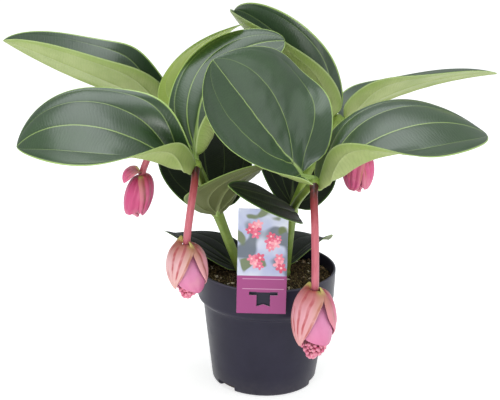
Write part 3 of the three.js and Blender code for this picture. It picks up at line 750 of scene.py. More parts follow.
def four_angled(radius):
    """Section with four raised corners that thickens a little towards both joints."""
    def radius_at(share, angles):
        corner = 0.93 + 0.17 * np.abs(np.cos(2 * angles)) ** 3
        swell = END_SWELL * (math.exp(-(share / 0.12) ** 2) + math.exp(-((1 - share) / 0.12) ** 2))
        return radius * (corner + swell * 0.6)
    return radius_at


def knob(centre, radius, seed):
    """A slightly lumpy ball where leaves join a stem."""
    rings, sides = 14, 24
    points = []
    for i in range(rings + 1):
        polar = math.pi * i / rings
        for k in range(sides):
            turn = 2 * math.pi * k / sides
            way = np.array([math.sin(polar) * math.cos(turn), math.sin(polar) * math.sin(turn),
                            math.cos(polar)])
            lump = 1 + 0.05 * math.sin(4 * turn + seed) * math.sin(polar) ** 2
            lump *= 0.94 + 0.06 * math.cos(2 * polar + 0.5)
            points.append(centre + radius * lump * way)
    return np.array(points), wall_faces(rings + 1, sides, flip=True), []


def stem(side, material):
    """A stem with its two branches. The weld closes the knobs' poles."""
    foot, fork = JOINTS["foot" + side.capitalize()], JOINTS["fork" + side.capitalize()]
    rooted = (foot[0] * 0.75, foot[1], foot[2] - ROOT_DEPTH)
    parts = [rod_mesh([rooted, foot, (foot + fork) / 2, fork], four_angled(STEM_RADIUS), 60, 32),
             knob(fork, KNOB_RADIUS, 1), knob(foot, FOOT_KNOB_RADIUS, 2)]
    for tip in ("tipFront" + side.capitalize(), "tipBack" + side.capitalize()):
        parts.append(rod_mesh([fork, BOWS[tip], JOINTS[tip]], four_angled(BRANCH_RADIUS), 60, 32))
        parts.append(knob(JOINTS[tip], TIP_KNOB_RADIUS, 3))
    points, faces, _ = bundle(parts)
    piece = mesh_object(side + "_stem", points * MM, faces, [material])
    piece.modifiers.new("weld", "WELD").merge_threshold = WELD_DISTANCE
    return applied(piece)


green_stem, point = new_material("green_stem", Roughness=0.5)
corky = step_between(noise(point, 300.0, 5.0, 0.7), 0.56, 0.70)
skin = mottled(point, (0.16, 0.26, 0.035), (0.30, 0.40, 0.075), 45.0, 0.2)
paint(green_stem, Base_Color=blend(corky * 0.55, skin, (0.16, 0.09, 0.04)),
      Normal=bump(noise(point, 500.0, 4.0), 0.4, 0.0008))
for side in ("left", "right"):
    made = stem(side, green_stem)
    finish_piece(made, "stem", "stem_" + side)
    print(made.name, "faces:", len(made.data.polygons))

# %% [markdown]
# ## Leaves
# Each leaf is one broad blade with a pointed tip and five veins that part near the base, run in arches
# and meet again at the tip. The basal lobes curl up round the stem and show their pale undersides. The
# blade's surface follows a rule, so we compute it: a midrib bends through space, and at each step a row
# of points leaves it on both sides, folded and curled by angles that grow outwards. The grid's columns
# follow the veins, so grooves above and ridges below come out sharp with few faces.

# %% Leaf rule
WIDEST_AT = 0.45
BLUNTNESS = 0.7
BASE_POWERS = (2.4, 0.55)
LOBE_REACH = 0.32
LOBE_BEND_FROM = 0.25
LOBE_BEND_TO = 0.65
LOBE_SET_BACK = 0.05
SET_BACK_REACH = 0.12
NECK_REACH = 0.025
CURL_POWER = 1.5
LEAF_STAND_OFF = 7.2
BLADE_HALF_THICKNESS = 0.45
TIP_HALF_WIDTH = 0.6
MIDRIB_STEPS = 60
BEND_STEPS = 24

INNER_COLUMN = 0.40
OUTER_COLUMN = 0.78

# name, joint, azimuth, rise, droop, sweep, roll, twist, length, width, fold, curl, lobe, lift, extras
LEAVES = [
    ("leaf_1", "tipBackLeft", 183, 13, -20, 7, 5, 2, 214, 153, (35, 21), (18, 9), (23, 88), 2, {}),
    ("leaf_2", "tipFrontLeft", 206, 38, 87, -42, 14, 30, 226, 142, (-5, -3), (22, -12), (137, 156), -8,
     {"bend": 1.9, "veins": (0.61, 0.92), "puff": 2.0}),
    ("leaf_3", "tipFrontLeft", 95.8, 75.5, 79, -84.9, -10.3, -47.7, 210.5, 106, (-8, 11), (-32, 53),
     (-21, 126), 11, {"blunt": 0.5, "mid": 0.37, "stand_off": 4.3, "sides": (0.79, 1.21), "puff": 0.8}),
    ("leaf_4", "tipBackLeft", -17, 88, 70, 0, 19, 0, 150, 130, (13, -15), (4, 3), (0, 9), 0, {}),
    ("leaf_5", "tipBackRight", 169.3, 46.6, 24.7, -53.8, 7.7, 34.5, 203, 109, (58, 41), (51, 6), (22, -8),
     1, {}),
    ("leaf_6", "tipFrontRight", 187.8, 52.3, 1, -15.5, 24.6, 12.4, 166, 204, (6, 16), (38, -42), (22, 79),
     8.4, {"blunt": 0.67, "mid": 0.52, "stand_off": 14.6, "sides": (1.22, 1.09),
          "veins": (0.37, 0.84), "parting": 0.10, "puff": 0.8, "dents": 1.9}),
    ("leaf_7", "tipFrontRight", -7, 61, 91, 38, -22, 0, 232, 144, (-4, -4), (-18, 17), (24, 180), -7,
     {"veins": (0.63, 0.92), "puff": 2.0}),
    ("leaf_8", "tipBackRight", 24, 23, 18, -18, 15, -10, 209, 135, (12, 20), (-9, -8), (45, 52), 0, {}),
    ("leaf_9", "forkLeft", 106, 28, 6, -20, 10, 0, 213, 120, (10, 5), (8, 0), (0, 0), -1.5, {}),
    ("leaf_10", "forkLeft", -82.6, 68.5, 47.8, 85.1, -9.6, 42.2, 106, 91, (11, -4), (6, 9), (50, 36), -2,
     {"blunt": 0.48, "mid": 0.39, "sides": (1.26, 1.08)}),
    ("leaf_11", "forkRight", 270.1, 26.2, 4.8, -45.4, 29.1, 0.5, 215, 57, (-19, -7), (-2, 8), (-2, 2), 2,
     {}),
    ("leaf_12", "forkRight", 90, 38, 30, -19, -34, 5, 193, 117, (2, -2), (2, 9), (3, 20), 2, {}),
    ("leaf_13", "footLeft", 133, 24, 43, -9, -7, -4, 147, 84, (6, 6), (8, 7), (0, 0), 4, {}),
    ("leaf_14", "footRight", 65, 14, 37, 2, 10, 0, 145, 84, (15, 14), (11, 12), (0, 0), 6,
     {"sides": (1.05, 0.55)}),
]
LEAF_KEYS = ("name", "joint", "azimuth", "rise", "droop", "sweep", "roll", "twist", "length", "width",
             "fold", "curl", "lobe", "lift")
LEAVES = [{**dict(zip(LEAF_KEYS, row)), **row[-1]} for row in LEAVES]


def half_outline(t, blunt, mid):
    """Half width of a blade at t along its midrib, as a share of its greatest half width."""
    low = (1 - (np.clip(mid - t, 0, None) / mid) ** BASE_POWERS[0]) ** BASE_POWERS[1]
    high = np.clip(1 - (np.clip(t - mid, 0, None) / (1 - mid)) ** 2, 0, None) ** blunt
    return np.where(t < mid, low, high)


def heading(leaf, t):
    """Which way the midrib runs at t, and its azimuth there in radians."""
    rise = np.radians(leaf["rise"] - leaf["droop"] * t ** leaf.get("bend", 1))
    turn = np.radians(leaf["azimuth"] + leaf["sweep"] * t)
    along = np.stack([np.cos(rise) * np.cos(turn), np.cos(rise) * np.sin(turn), np.sin(rise)], axis=-1)
    return along, turn


def leaf_base(leaf):
    away = math.radians(leaf["azimuth"])
    reach = np.array([math.cos(away), math.sin(away), 0]) * leaf.get("stand_off", LEAF_STAND_OFF)
    return JOINTS[leaf["joint"]] + reach + np.array([0, 0, leaf["lift"]])


def midrib_points(leaf, base, t):
    middles = (np.arange(MIDRIB_STEPS) + 0.5) / MIDRIB_STEPS
    steps = heading(leaf, middles)[0] * leaf["length"] / MIDRIB_STEPS
    walked = np.vstack([np.zeros(3), np.cumsum(steps, axis=0)])
    grid = np.linspace(0, 1, MIDRIB_STEPS + 1)
    return base + np.stack([np.interp(t, grid, walked[:, k]) for k in range(3)], axis=-1)


def smoothstep(x, low, high):
    x = np.clip((x - low) / (high - low), 0, 1)
    return x * x * (3 - 2 * x)


def blade_points(leaf, t, v):
    """The blade's middle surface at shares t along and v across, in millimetres, and the half widths."""
    along, turn = heading(leaf, t)
    level = np.stack([np.sin(turn), -np.cos(turn), np.zeros_like(turn)], axis=-1)
    above = np.cross(level, along)
    roll = np.radians(leaf["roll"] + leaf["twist"] * t)[..., None]
    side = level * np.cos(roll) + above * np.sin(roll)
    normal = above * np.cos(roll) - level * np.sin(roll)
    share = half_outline(t, leaf.get("blunt", BLUNTNESS), leaf.get("mid", WIDEST_AT))
    half = np.maximum(share * leaf["width"] / 2, TIP_HALF_WIDTH)
    lobe_share = np.exp(-((t / LOBE_REACH) ** 2))
    set_back = LOBE_SET_BACK * leaf["width"] * (np.exp(-((t / SET_BACK_REACH) ** 2))
                                                - np.exp(-((t / NECK_REACH) ** 2)))
    reach = np.abs(v)
    right = v >= 0
    half = half * np.where(right, *leaf.get("sides", (1, 1))[::-1])
    pick = {key: np.where(right, leaf[key][1], leaf[key][0]) for key in ("fold", "curl", "lobe")}
    out, rise = np.zeros_like(v), np.zeros_like(v)
    for k in range(BEND_STEPS):
        q = (k + 0.5) / BEND_STEPS * reach
        bend_ramp = smoothstep(q, LOBE_BEND_FROM, LOBE_BEND_TO)
        bend = np.radians(pick["fold"] + pick["curl"] * q ** CURL_POWER
                          + pick["lobe"] * lobe_share * bend_ramp)
        out += np.cos(bend) * reach / BEND_STEPS * half
        rise += np.sin(bend) * reach / BEND_STEPS * half
    middle = midrib_points(leaf, leaf_base(leaf), t)
    points = middle + side * (np.sign(v) * out)[..., None] + normal * rise[..., None]
    return points - along * (set_back * reach ** 2)[..., None], half


print("leaf lengths:", [leaf["length"] for leaf in LEAVES])

# %% Leaf meshes
ROWS = np.concatenate([[0.004, 0.012, 0.024, 0.04], np.linspace(0.06, 0.9, 48), [0.925, 0.95, 0.97,
                       0.985, 0.995, 1.0]])
VEIN_OFFSETS = (0.006, 0.016, 0.034, 0.065)
HALF_COLUMNS = sorted(
    {0.0, 0.006, 0.016, 0.034, INNER_COLUMN, OUTER_COLUMN, 0.965, 0.985, 1.0}
    | {round(vein + sign * offset, 3) for vein in (INNER_COLUMN, OUTER_COLUMN) for offset in VEIN_OFFSETS
       for sign in (-1, 1)}
    | {0.07, 0.12, 0.18, 0.24, 0.29, 0.51, 0.57, 0.63, 0.68, 0.87, 0.90, 0.935})
COLUMNS = np.array([-s for s in HALF_COLUMNS[:0:-1]] + HALF_COLUMNS)
FINE_DENT = 13.0
RIM_KIND = 2
# height and width, in millimetres, of what the veins press into the top and raise on the underside
GROOVES = {"inner": (0.35, 1.3), "outer": (0.2, 1.2), "midrib": (0.4, 1.6)}
RIDGES = {"inner": (0.6, 1.1), "outer": (0.35, 1.0)}
BASE_RIB, BASE_RIB_REACH = (1.3, 3.6), 0.12


def vein_places(leaf, t):
    """Where the inner and outer veins lie at t, as shares of the half width. They part near the base."""
    inner, outer = leaf.get("veins", (0.45, 0.86))
    parted = 1 - np.exp(-np.clip(t - leaf.get("parting", 0), 0, None) / 0.16)
    return inner * parted, outer * (1 - np.exp(-t / 0.12))


def vein_columns(leaf, s, t):
    """Turns column shares into blade shares, so that columns run along the veins."""
    inner, outer = vein_places(leaf, t)
    size = np.abs(s)
    between = (size - INNER_COLUMN) / (OUTER_COLUMN - INNER_COLUMN)
    beyond = (size - OUTER_COLUMN) / (1 - OUTER_COLUMN)
    v = np.where(size < INNER_COLUMN, size / INNER_COLUMN * inner,
                 np.where(size < OUTER_COLUMN, inner + between * (outer - inner),
                          outer + beyond * (1 - outer)))
    return np.sign(s) * v


def dents(leaf, t, v):
    """Uneven dents over the blade, from -1 to 1."""
    seed = float(leaf["name"].split("_")[1])
    u_mm, w_mm = t * leaf["length"] / FINE_DENT, v * leaf["width"] / 2 / FINE_DENT
    flat = [noise_at(Vector((u, w, 7.3 * seed))) for u, w in zip(u_mm.ravel(), w_mm.ravel())]
    return np.array(flat).reshape(t.shape)


def hump(distance, height, width):
    return height * np.exp(-(distance / width) ** 2)


def leaf_relief(leaf, s, t, v, half):
    """How far the top and the underside stand from the middle surface, in millimetres."""
    inner, outer = vein_places(leaf, t)
    size, share = np.abs(s), np.abs(v)
    fade = np.clip(1 - t, 0, 1) ** 0.5 * smoothstep(t, 0, 0.12)
    place = np.where(size < INNER_COLUMN, size / INNER_COLUMN,
                     np.where(size < OUTER_COLUMN, (size - INNER_COLUMN) / (OUTER_COLUMN - INNER_COLUMN),
                              (size - OUTER_COLUMN) / (1 - OUTER_COLUMN)))
    puff = leaf.get("puff", 0.9) * (1 - np.abs(2 * place - 1) ** 2.2) * np.where(size > OUTER_COLUMN, 0.2, 1)
    away = {"inner": np.abs(share - inner) * half, "outer": np.abs(share - outer) * half,
            "midrib": share * half}
    grooves = sum(hump(away[vein], *form) for vein, form in GROOVES.items())
    ridges = sum(hump(away[vein], *form) for vein, form in RIDGES.items())
    base_rib = hump(away["midrib"], *BASE_RIB) * np.exp(-(t / BASE_RIB_REACH) ** 2)
    midrib = hump(away["midrib"], 1.5 * (1 - t) + 0.3, 1.0 + 1.4 * (1 - t))
    dented = leaf.get("dents", 0.35) * dents(leaf, t, v) * (1 - size ** 6) * fade
    edge = BLADE_HALF_THICKNESS * (0.55 + 0.45 * np.clip((1 - share) * half / 3, 0, 1))
    shaped = (puff - grooves) * fade + dented
    return edge + shaped + base_rib, edge - shaped + ridges * fade + midrib


def sheet_normals(points):
    return unit(np.cross(np.gradient(points, axis=1), np.gradient(points, axis=0)))


def closed_sheet(upper, lower, rim_kind):
    """A closed sheet between two grids. Its faces are of kind 0 above, 1 below and rim_kind round it."""
    rows, columns = upper.shape[:2]
    count = rows * columns
    faces, kinds = [], []
    for i in range(rows - 1):
        for a in range(i * columns, (i + 1) * columns - 1):
            b, c, d = a + 1, a + columns + 1, a + columns
            faces += [(a, b, c, d), (count + a, count + d, count + c, count + b)]
            kinds += [0, 1]
    grid = np.arange(count).reshape(rows, columns)
    ring = np.concatenate([grid[0], grid[1:, -1], grid[-1, -2::-1], grid[-2:0:-1, 0]]).tolist()
    faces += [(a, count + a, count + b, b) for a, b in zip(ring, ring[1:] + ring[:1])]
    return np.concatenate([upper.reshape(-1, 3), lower.reshape(-1, 3)]), faces, kinds + [rim_kind] * len(ring)


def leaf_mesh(leaf):
    """A blade's vertices, faces and kinds, and the distances to its veins and margin for the finishes."""
    s, t = np.meshgrid(COLUMNS, ROWS)
    v = vein_columns(leaf, s, t)
    points, half = blade_points(leaf, t, v)
    normals = sheet_normals(points)
    top, under = leaf_relief(leaf, s, t, v, half)
    inner, outer = vein_places(leaf, t)
    share = np.abs(v)
    measures = {"along": t, "across": v, "to_midrib": share * half, "to_inner": np.abs(share - inner) * half,
                "to_outer": np.abs(share - outer) * half, "to_margin": (1 - share) * half}
    sheet = closed_sheet(points + normals * top[..., None], points - normals * under[..., None], RIM_KIND)
    return *sheet, {key: np.tile(values.ravel(), 2) for key, values in measures.items()}


def stalk_mesh(leaf):
    """The short stalk from the stem's knob into the blade's thick base."""
    base = leaf_base(leaf)
    heart = JOINTS[leaf["joint"]] + np.array([0, 0, leaf["lift"] / 2])
    inside = base + heading(leaf, np.array(0.0))[0] * 9
    return rod_mesh([heart, base, inside], lambda share, angles: 3.3 - 1.9 * share ** 2, 12, 16)


# %% [markdown]
# The upper side is leathery dark green with a waxy bloom, pale veins that are brightest near the base and
# a thin bright margin. Below, the leaf is pale yellow-green. The leaves low on the stems, under the canopy,
# wear much darker copies of both sides as painted shade, and the fourth leaf's underside is a brighter copy
# that glows a little, painted light standing in for light through the blade. A shader group turns the
# distances stored on the blade into a vein mask, a margin mask and the fine rungs between the veins, and
# the finish of every side uses it.

# %% Leaf finishes
MIDRIB_WIDTH, VEIN_WIDTH, MARGIN_WIDTH = 1.7, 1.15, 2.5
BASE_SWELL, BASE_SHARE = 4.4, 0.22
RUNG_COUNT, RUNG_SLANT = 62.0, -4.0
FULL_TURN = 6.283
leaf_marks, _ = shader_group("leaf_marks")
along, across, to_margin = (attribute(leaf_marks, key) for key in ("along", "across", "to_margin"))


def line_mask(distance, width):
    """1 on a line and 0 beyond its width."""
    return step_between(distance / width, 1.0, 0.35)


def faded(start, loss):
    """A share that falls by loss from the base of the leaf to its tip."""
    return wire(leaf_marks, "ShaderNodeMath", (start, along * loss), operation="SUBTRACT", use_clamp=True)


slim = faded(1.0, 0.55)
midrib_width = slim * MIDRIB_WIDTH + step_between(along, BASE_SHARE, 0.0) * BASE_SWELL
veins = faded(1.0, 0.35) * line_mask(attribute(leaf_marks, "to_midrib"), midrib_width)
for name, start, loss in (("to_inner", 0.95, 0.75), ("to_outer", 0.75, 1.0)):
    vein = faded(start, loss) * line_mask(attribute(leaf_marks, name), slim * VEIN_WIDTH)
    veins = veins.math("MAXIMUM", vein)
slant = along * RUNG_COUNT + abs(across) * RUNG_SLANT
wander = noise(object_point(leaf_marks), 70.0, 2.0) * 2.2
wave = ((slant + wander) * FULL_TURN).math("SINE")
give_out(leaf_marks, Veins=veins, Margin=line_mask(to_margin, MARGIN_WIDTH),
         Rungs=step_between(wave, 0.1, 1.0), Edge_Shade=step_between(to_margin, 14.0, 2.0))


def leaf_side(name, ground, vein, margin, rung_share, rung_colour, vein_share, **constants):
    """One side of a leaf. ground lists its darkest, lightest and edge colours."""
    material, point = new_material(name, **constants)
    marks = placed(point.tree, leaf_marks)
    dark, light, edge = ground
    colour = blend(marks["Edge Shade"] * 0.5, mottled(point, dark, light, 16.0, 0.3), edge)
    colour = blend(marks["Rungs"] * rung_share, colour, rung_colour)
    colour = blend(marks["Veins"] * vein_share, colour, vein)
    relief = grain(point, 700.0, 0.8) * 0.4 - marks["Rungs"] * 0.5
    paint(material, Base_Color=blend(marks["Margin"], colour, margin), Normal=bump(relief, 0.35, 0.0006))
    return material


leaf_top = leaf_side(
    "leaf_upper_side", [(0.016, 0.052, 0.010), (0.032, 0.084, 0.019), (0.012, 0.058, 0.006)],
    (0.40, 0.56, 0.15), (0.46, 0.66, 0.16), 0.12, (0.045, 0.10, 0.04), 0.95,
    Roughness=0.38, Specular_IOR_Level=0.8, Coat_Weight=0.6, Coat_Roughness=0.28)
leaf_under = leaf_side(
    "leaf_underside", [(0.24, 0.32, 0.08), (0.40, 0.46, 0.19), (0.24, 0.36, 0.06)],
    (0.42, 0.47, 0.24), (0.40, 0.50, 0.20), 0.16, (0.22, 0.28, 0.10), 0.6,
    Roughness=0.5, Specular_IOR_Level=0.3)
# painted shade: the leaves low on the stems, under the canopy, wear these much darker copies of both sides
shade_painted_top = leaf_side(
    "leaf_upper_side_painted_shade", [(0.005, 0.010, 0.005), (0.010, 0.017, 0.008), (0.005, 0.012, 0.004)],
    (0.07, 0.10, 0.035), (0.05, 0.11, 0.02), 0.1, (0.015, 0.025, 0.012), 0.8,
    Roughness=0.55, Specular_IOR_Level=0.15)
shade_painted_under = leaf_side(
    "leaf_underside_painted_shade", [(0.11, 0.13, 0.045), (0.16, 0.18, 0.07), (0.12, 0.16, 0.04)],
    (0.24, 0.28, 0.11), (0.20, 0.28, 0.07), 0.3, (0.07, 0.085, 0.03), 0.8,
    Roughness=0.55, Specular_IOR_Level=0.3)
# painted light: a brighter underside that glows, standing in for light shining through the fourth leaf
glow_painted_under = leaf_side(
    "leaf_underside_painted_glow", [(0.36, 0.48, 0.10), (0.50, 0.58, 0.18), (0.36, 0.50, 0.08)],
    (0.55, 0.62, 0.24), (0.45, 0.58, 0.16), 0.16, (0.32, 0.42, 0.10), 0.6,
    Roughness=0.5, Specular_IOR_Level=0.3, Emission_Color=(0.09, 0.14, 0.02, 1), Emission_Strength=0.7)
leaf_rim = two_tone("leaf_margin", (0.24, 0.38, 0.07), (0.36, 0.50, 0.14), 60.0, 0.3, Roughness=0.45)
SHADE_PAINTED_SKINS = [shade_painted_top, shade_painted_under, leaf_rim]
SKINS = {"leaf_4": [leaf_top, glow_painted_under, leaf_rim]}
SKINS.update({f"leaf_{low}": SHADE_PAINTED_SKINS for low in range(9, 15)})

leaf_faces = 0
for leaf in LEAVES:
    vertices, faces, kinds, values = leaf_mesh(leaf)
    stalk_points, stalk_faces, _ = stalk_mesh(leaf)
    points, faces, kinds = bundle([(vertices, faces, kinds),
                                   (stalk_points, stalk_faces, [RIM_KIND] * len(stalk_faces))])
    skins = SKINS.get(leaf["name"], [leaf_top, leaf_under, leaf_rim])
    blade = mesh_object(leaf["name"].replace("leaf", "blade"), points * MM, faces, skins, kinds)
    for key, numbers in values.items():
        point_values(blade, key, np.concatenate([numbers, np.zeros(len(stalk_points))]))
    finish_piece(blade, "leaf", leaf["name"])
    leaf_faces += len(faces)
print("leaf faces in all:", leaf_faces)

# %% [markdown]
# ## Hanging blooms
# Each bloom is a lantern of broad bracts on a rosy stalk: two outer bracts, one inside them, and a bunch
# of ball buds at the mouth. A bract is a sheet. Its side view is a smooth profile from the stalk over a
# rounded shoulder down to a tip, and at each step down it spans an arc round the bloom's axis. The front
# blooms gape, the ones behind are shut, and one of those has lifted its first bract like a hood.

# %% Bloom shapes
SEAT_GAP = 0.3
PEDUNCLE_RADIUS = 4.3
PEDUNCLE_START = 0.15
PEDUNCLE_REACH = 0.62
BRACT_HALF_THICKNESS = 0.6
BRACT_LAYER = 2.6
BRACT_SHAPES = {
    "open": [(0, 0), (0.28, 0.02), (0.62, -0.07), (0.88, -0.25), (1, -0.5), (0.97, -0.7), (0.87, -0.87),
             (0.72, -1)],
    "cup": [(0, 0), (0.2, -0.02), (0.42, -0.13), (0.7, -0.31), (0.93, -0.52), (0.98, -0.7), (0.92, -0.87),
            (0.8, -1)],
    "shut": [(0, 0), (0.3, 0), (0.64, -0.1), (0.9, -0.28), (1, -0.5), (0.93, -0.7), (0.74, -0.88),
             (0.5, -1)],
    "hood": [(0, 0), (0.3, 0.3), (0.62, 0.5), (0.92, 0.42), (1.1, 0.1), (1.16, -0.3), (1.14, -0.65),
             (1.06, -1)],
}
# shape, azimuth of the keel, layer, reach, bulge, half arc at each step, height of the crest at each margin
BRACT_KEYS = ("shape", "turn", "layer", "reach", "bulge", "spans", "crests")
BLOOMS = [
    {"name": "front_left", "joint": "tipFrontLeft", "via": [(-86, -75, 273), (-89.5, -86, 247)],
     "neck": (-94, -84, 203), "radius": 24.5, "length": 60, "lean": (2, 0), "cluster": 13.5, "drop": 3.5,
     "balls": 46, "tones": (0.0, 0.35, 0.0), "bracts": {
         "outer_1": ("open", 222, 0, 0.84, 0, (95, 93, 82, 62, 47, 34, 18, 5), (6.5, 0)),
         "outer_2": ("open", 15, 0.7, 0.87, 3, (88, 87, 80, 74, 64, 50, 28, 5), (6.5, 0)),
         "inner": ("cup", 316, 2, 1, 2.5, (150, 150, 150, 145, 130, 100, 62, 8), (0, 0))}},
    {"name": "front_right", "joint": "tipFrontRight", "via": [(50, -102, 268), (51.5, -120, 238)],
     "neck": (54.5, -117, 163), "radius": 26, "length": 70, "lean": (0, 0), "cluster": 16, "drop": 11,
     "balls": 64, "tones": (0.25, 0.7, 0.0), "bracts": {
         "outer_1": ("open", 217, 0, 0.92, 0, (93, 92, 87, 67, 50, 36, 20, 5), (5, 0)),
         "outer_2": ("open", 20, 0.7, 0.88, 3, (84, 83, 79, 77, 68, 47, 22, 5), (7, 0)),
         "inner": ("cup", 322, 2, 0.97, 2.5, (150, 150, 150, 145, 140, 120, 84, 8), (0, 0))}},
    {"name": "back_left", "joint": "tipBackLeft", "via": [(-134, 84, 303), (-148, 84, 266)],
     "neck": (-159, 84, 236), "radius": 21.5, "length": 57, "lean": (-10, 0), "cluster": 8, "drop": -1,
     "balls": 16, "tones": (1.0, 1.0, 1.0), "bracts": {
         "outer_1": ("hood", 196, 0, 0.2, 0, (70, 70, 66, 58, 48, 38, 26, 10), (0, 0)),
         "outer_2": ("shut", 345, 1, 1, 0, (100, 98, 88, 74, 64, 60, 52, 22), (0, 0)),
         "inner": ("shut", 215, 2, 1.02, 2, (100, 100, 98, 96, 94, 92, 84, 30), (0, 0))}},
    {"name": "back_right", "joint": "tipBackRight", "via": [(96, 62, 305), (107, 62, 296)],
     "neck": (113, 62, 280), "radius": 20.5, "length": 52, "lean": (0, 0), "cluster": 9, "drop": 1,
     "balls": 20, "tones": (1.0, 1.0, 1.0), "bracts": {
         "outer_1": ("shut", 222, 0, 0.98, 0, (96, 94, 84, 68, 58, 54, 46, 24), (0, 0)),
         "outer_2": ("shut", 330, 1, 1, 1, (96, 94, 84, 68, 58, 54, 48, 30), (0, 0)),
         "inner": ("shut", 90, 2, 0.96, 0, (100, 100, 98, 90, 84, 78, 64, 30), (0, 0))}},
]


def spline_at(points, shares):
    """Uniform Catmull-Rom through the points, which lie at equal shares."""
    points = np.asarray(points, float)
    count = len(points) - 1
    place = np.clip(np.asarray(shares) * count, 0, count)
    low = np.minimum(place.astype(int), count - 1)
    w = (place - low)[:, None]
    p0, p1 = points[np.maximum(low - 1, 0)], points[low]
    p2, p3 = points[low + 1], points[np.minimum(low + 2, count)]
    v0, v1 = (p2 - p0) / 2, (p3 - p1) / 2
    return (2 * p1 - 2 * p2 + v0 + v1) * w ** 3 + (-3 * p1 + 3 * p2 - 2 * v0 - v1) * w ** 2 + v0 * w + p1


def axis_at(bloom, share):
    """The bloom's axis at a share of its length below the neck."""
    lean = np.array([bloom["lean"][0], bloom["lean"][1], -bloom["length"]], float)
    return np.array(bloom["neck"], float) + np.asarray(share, float)[..., None] * lean


def bract_grid(bloom, bract, ribs, rows=52, columns=49):
    """A bract's middle surface in millimetres, with the shares across and along at its points."""
    foot = PEDUNCLE_RADIUS + SEAT_GAP + BRACT_HALF_THICKNESS
    inset = bract["layer"] * BRACT_LAYER
    along = np.linspace(0, 1, rows)
    across = np.linspace(-1, 1, columns)
    profile = spline_at(BRACT_SHAPES[bract["shape"]], along)
    half_arc = spline_at(np.array(bract["spans"], float)[:, None], along)
    angle = np.radians(bract["turn"] + half_arc * across)
    radius = foot + (bloom["radius"] - BRACT_HALF_THICKNESS - inset - foot) * profile[:, :1]
    drop = (inset - (bloom["length"] * bract["reach"] - 2 * inset) * profile[:, 1]) / bloom["length"]
    reach_out = radius + ribs * np.cos(across * math.pi * 5) * np.sin(along * math.pi)[:, None] ** 0.7
    points = np.repeat(axis_at(bloom, drop)[:, None, :], columns, axis=1)
    keel = math.radians(bract["turn"])
    bulge = bract["bulge"] * np.maximum(drop, 0)[:, None]
    for axis, part in enumerate((np.cos, np.sin)):
        points[..., axis] += reach_out * part(angle)
        points[..., axis] += bulge * part(keel)
    shoulder = np.exp(-((along - 0.13) / 0.09) ** 2)[:, None]
    for side, height in zip((-1, 1), bract["crests"]):
        points[..., 2] += height * shoulder * np.exp(-((across * side - 1) / 0.3) ** 2)
    return points, across, along


def sheet_mesh(points, half_thickness):
    """A bract of some thickness round a grid of points, thinner at its two margins."""
    edge = np.minimum(np.arange(points.shape[1]), np.arange(points.shape[1])[::-1])
    thick = (half_thickness * np.where(edge == 0, 0.45, np.where(edge == 1, 0.85, 1)))[None, :, None]
    normals = sheet_normals(points)
    return closed_sheet(points + normals * thick, points - normals * thick, 1)


print("bracts in all:", sum(len(bloom["bracts"]) for bloom in BLOOMS))

# %% [markdown]
# The outer bracts of a young bloom are cream with salmon shoulders and brick-red stripes between their
# ribs; a riper one turns rose all over. The inside of each outer bract is painted dark maroon, darkest at
# the foot, as painted shade in the hollow of the lantern. The `tone` stored on a bract slides between the
# two, `across` draws the stripes and `along` the change from foot to tip. The inner bract is plain
# magenta-pink with a bluish bloom.

# %% Bloom finishes


def bract_finish(name, young, ripe, stripe, stripe_share, crest, roughness):
    """young and ripe each list the colours at the foot, middle and tip."""
    material, point = new_material(name, Roughness=roughness, Specular_IOR_Level=0.4)
    across, along, tone = (attribute(point.tree, key) for key in ("across", "along", "tone"))
    colour = blend(tone, *(ramp(along, [(0.0, foot), (0.18, foot), (0.5, middle), (1.0, tip)])
                           for foot, middle, tip in (young, ripe)))
    wave = ((across + noise(point, 45.0, 2.0) * 0.16) * (5 * math.pi)).math("COSINE")
    patch = step_between(noise(point, 55.0, 3.0), 0.36, 0.62)
    colour = blend(step_between(wave, -0.1, -0.95) * (patch * stripe_share), colour, stripe)
    blush = step_between(noise(point, 38.0, 3.0, 0.6), 0.45, 0.70)
    colour = blend(blush * 0.35, colour, (0.76, 0.36, 0.40))
    rim_band = step_between(abs(across), 0.5, 0.9) * (step_between(along, 0.9, 0.2) * crest)
    colour = blend(rim_band * 0.45, colour, (0.50, 0.36, 0.15))
    at_crest = step_between(abs(across), 0.55, 0.9) * step_between(along, 0.27, 0.14)
    colour = blend(at_crest * crest, colour, (0.60, 0.58, 0.16))
    relief = wave * 0.6 + noise(drawn_out(point, 0.12), 700.0, 3.0)
    paint(material, Base_Color=colour, Normal=bump(relief, 0.3, 0.0006))
    return material


outer_face = bract_finish(
    "outer_bract_face", [(0.56, 0.17, 0.13), (0.80, 0.45, 0.47), (0.70, 0.42, 0.34)],
    [(0.46, 0.05, 0.10), (0.72, 0.11, 0.27), (0.66, 0.10, 0.24)], (0.48, 0.09, 0.10), 1.0, 0.9, 0.42)
# painted shade: the insides of the outer bracts are dark maroon, darkest at the foot deep in the bloom
shaded_inside_face = bract_finish(
    "outer_bract_inside_painted_shade", [(0.13, 0.02, 0.03), (0.22, 0.03, 0.06), (0.42, 0.08, 0.14)],
    [(0.13, 0.02, 0.03), (0.25, 0.03, 0.07), (0.40, 0.07, 0.14)], (0.10, 0.01, 0.02), 0.5, 0.0, 0.5)
inner_face = bract_finish(
    "inner_bract_face", [(0.62, 0.16, 0.24), (0.74, 0.27, 0.46), (0.66, 0.17, 0.32)],
    [(0.46, 0.05, 0.12), (0.66, 0.08, 0.23), (0.60, 0.07, 0.20)], (0.56, 0.12, 0.26), 0.2, 0.0, 0.38)
hollow_face = bract_finish(
    "inner_bract_inside", [(0.24, 0.03, 0.06), (0.34, 0.05, 0.11), (0.50, 0.10, 0.20)],
    [(0.24, 0.03, 0.06), (0.34, 0.05, 0.11), (0.42, 0.07, 0.15)], (0.20, 0.02, 0.05), 0.3, 0.0, 0.5)
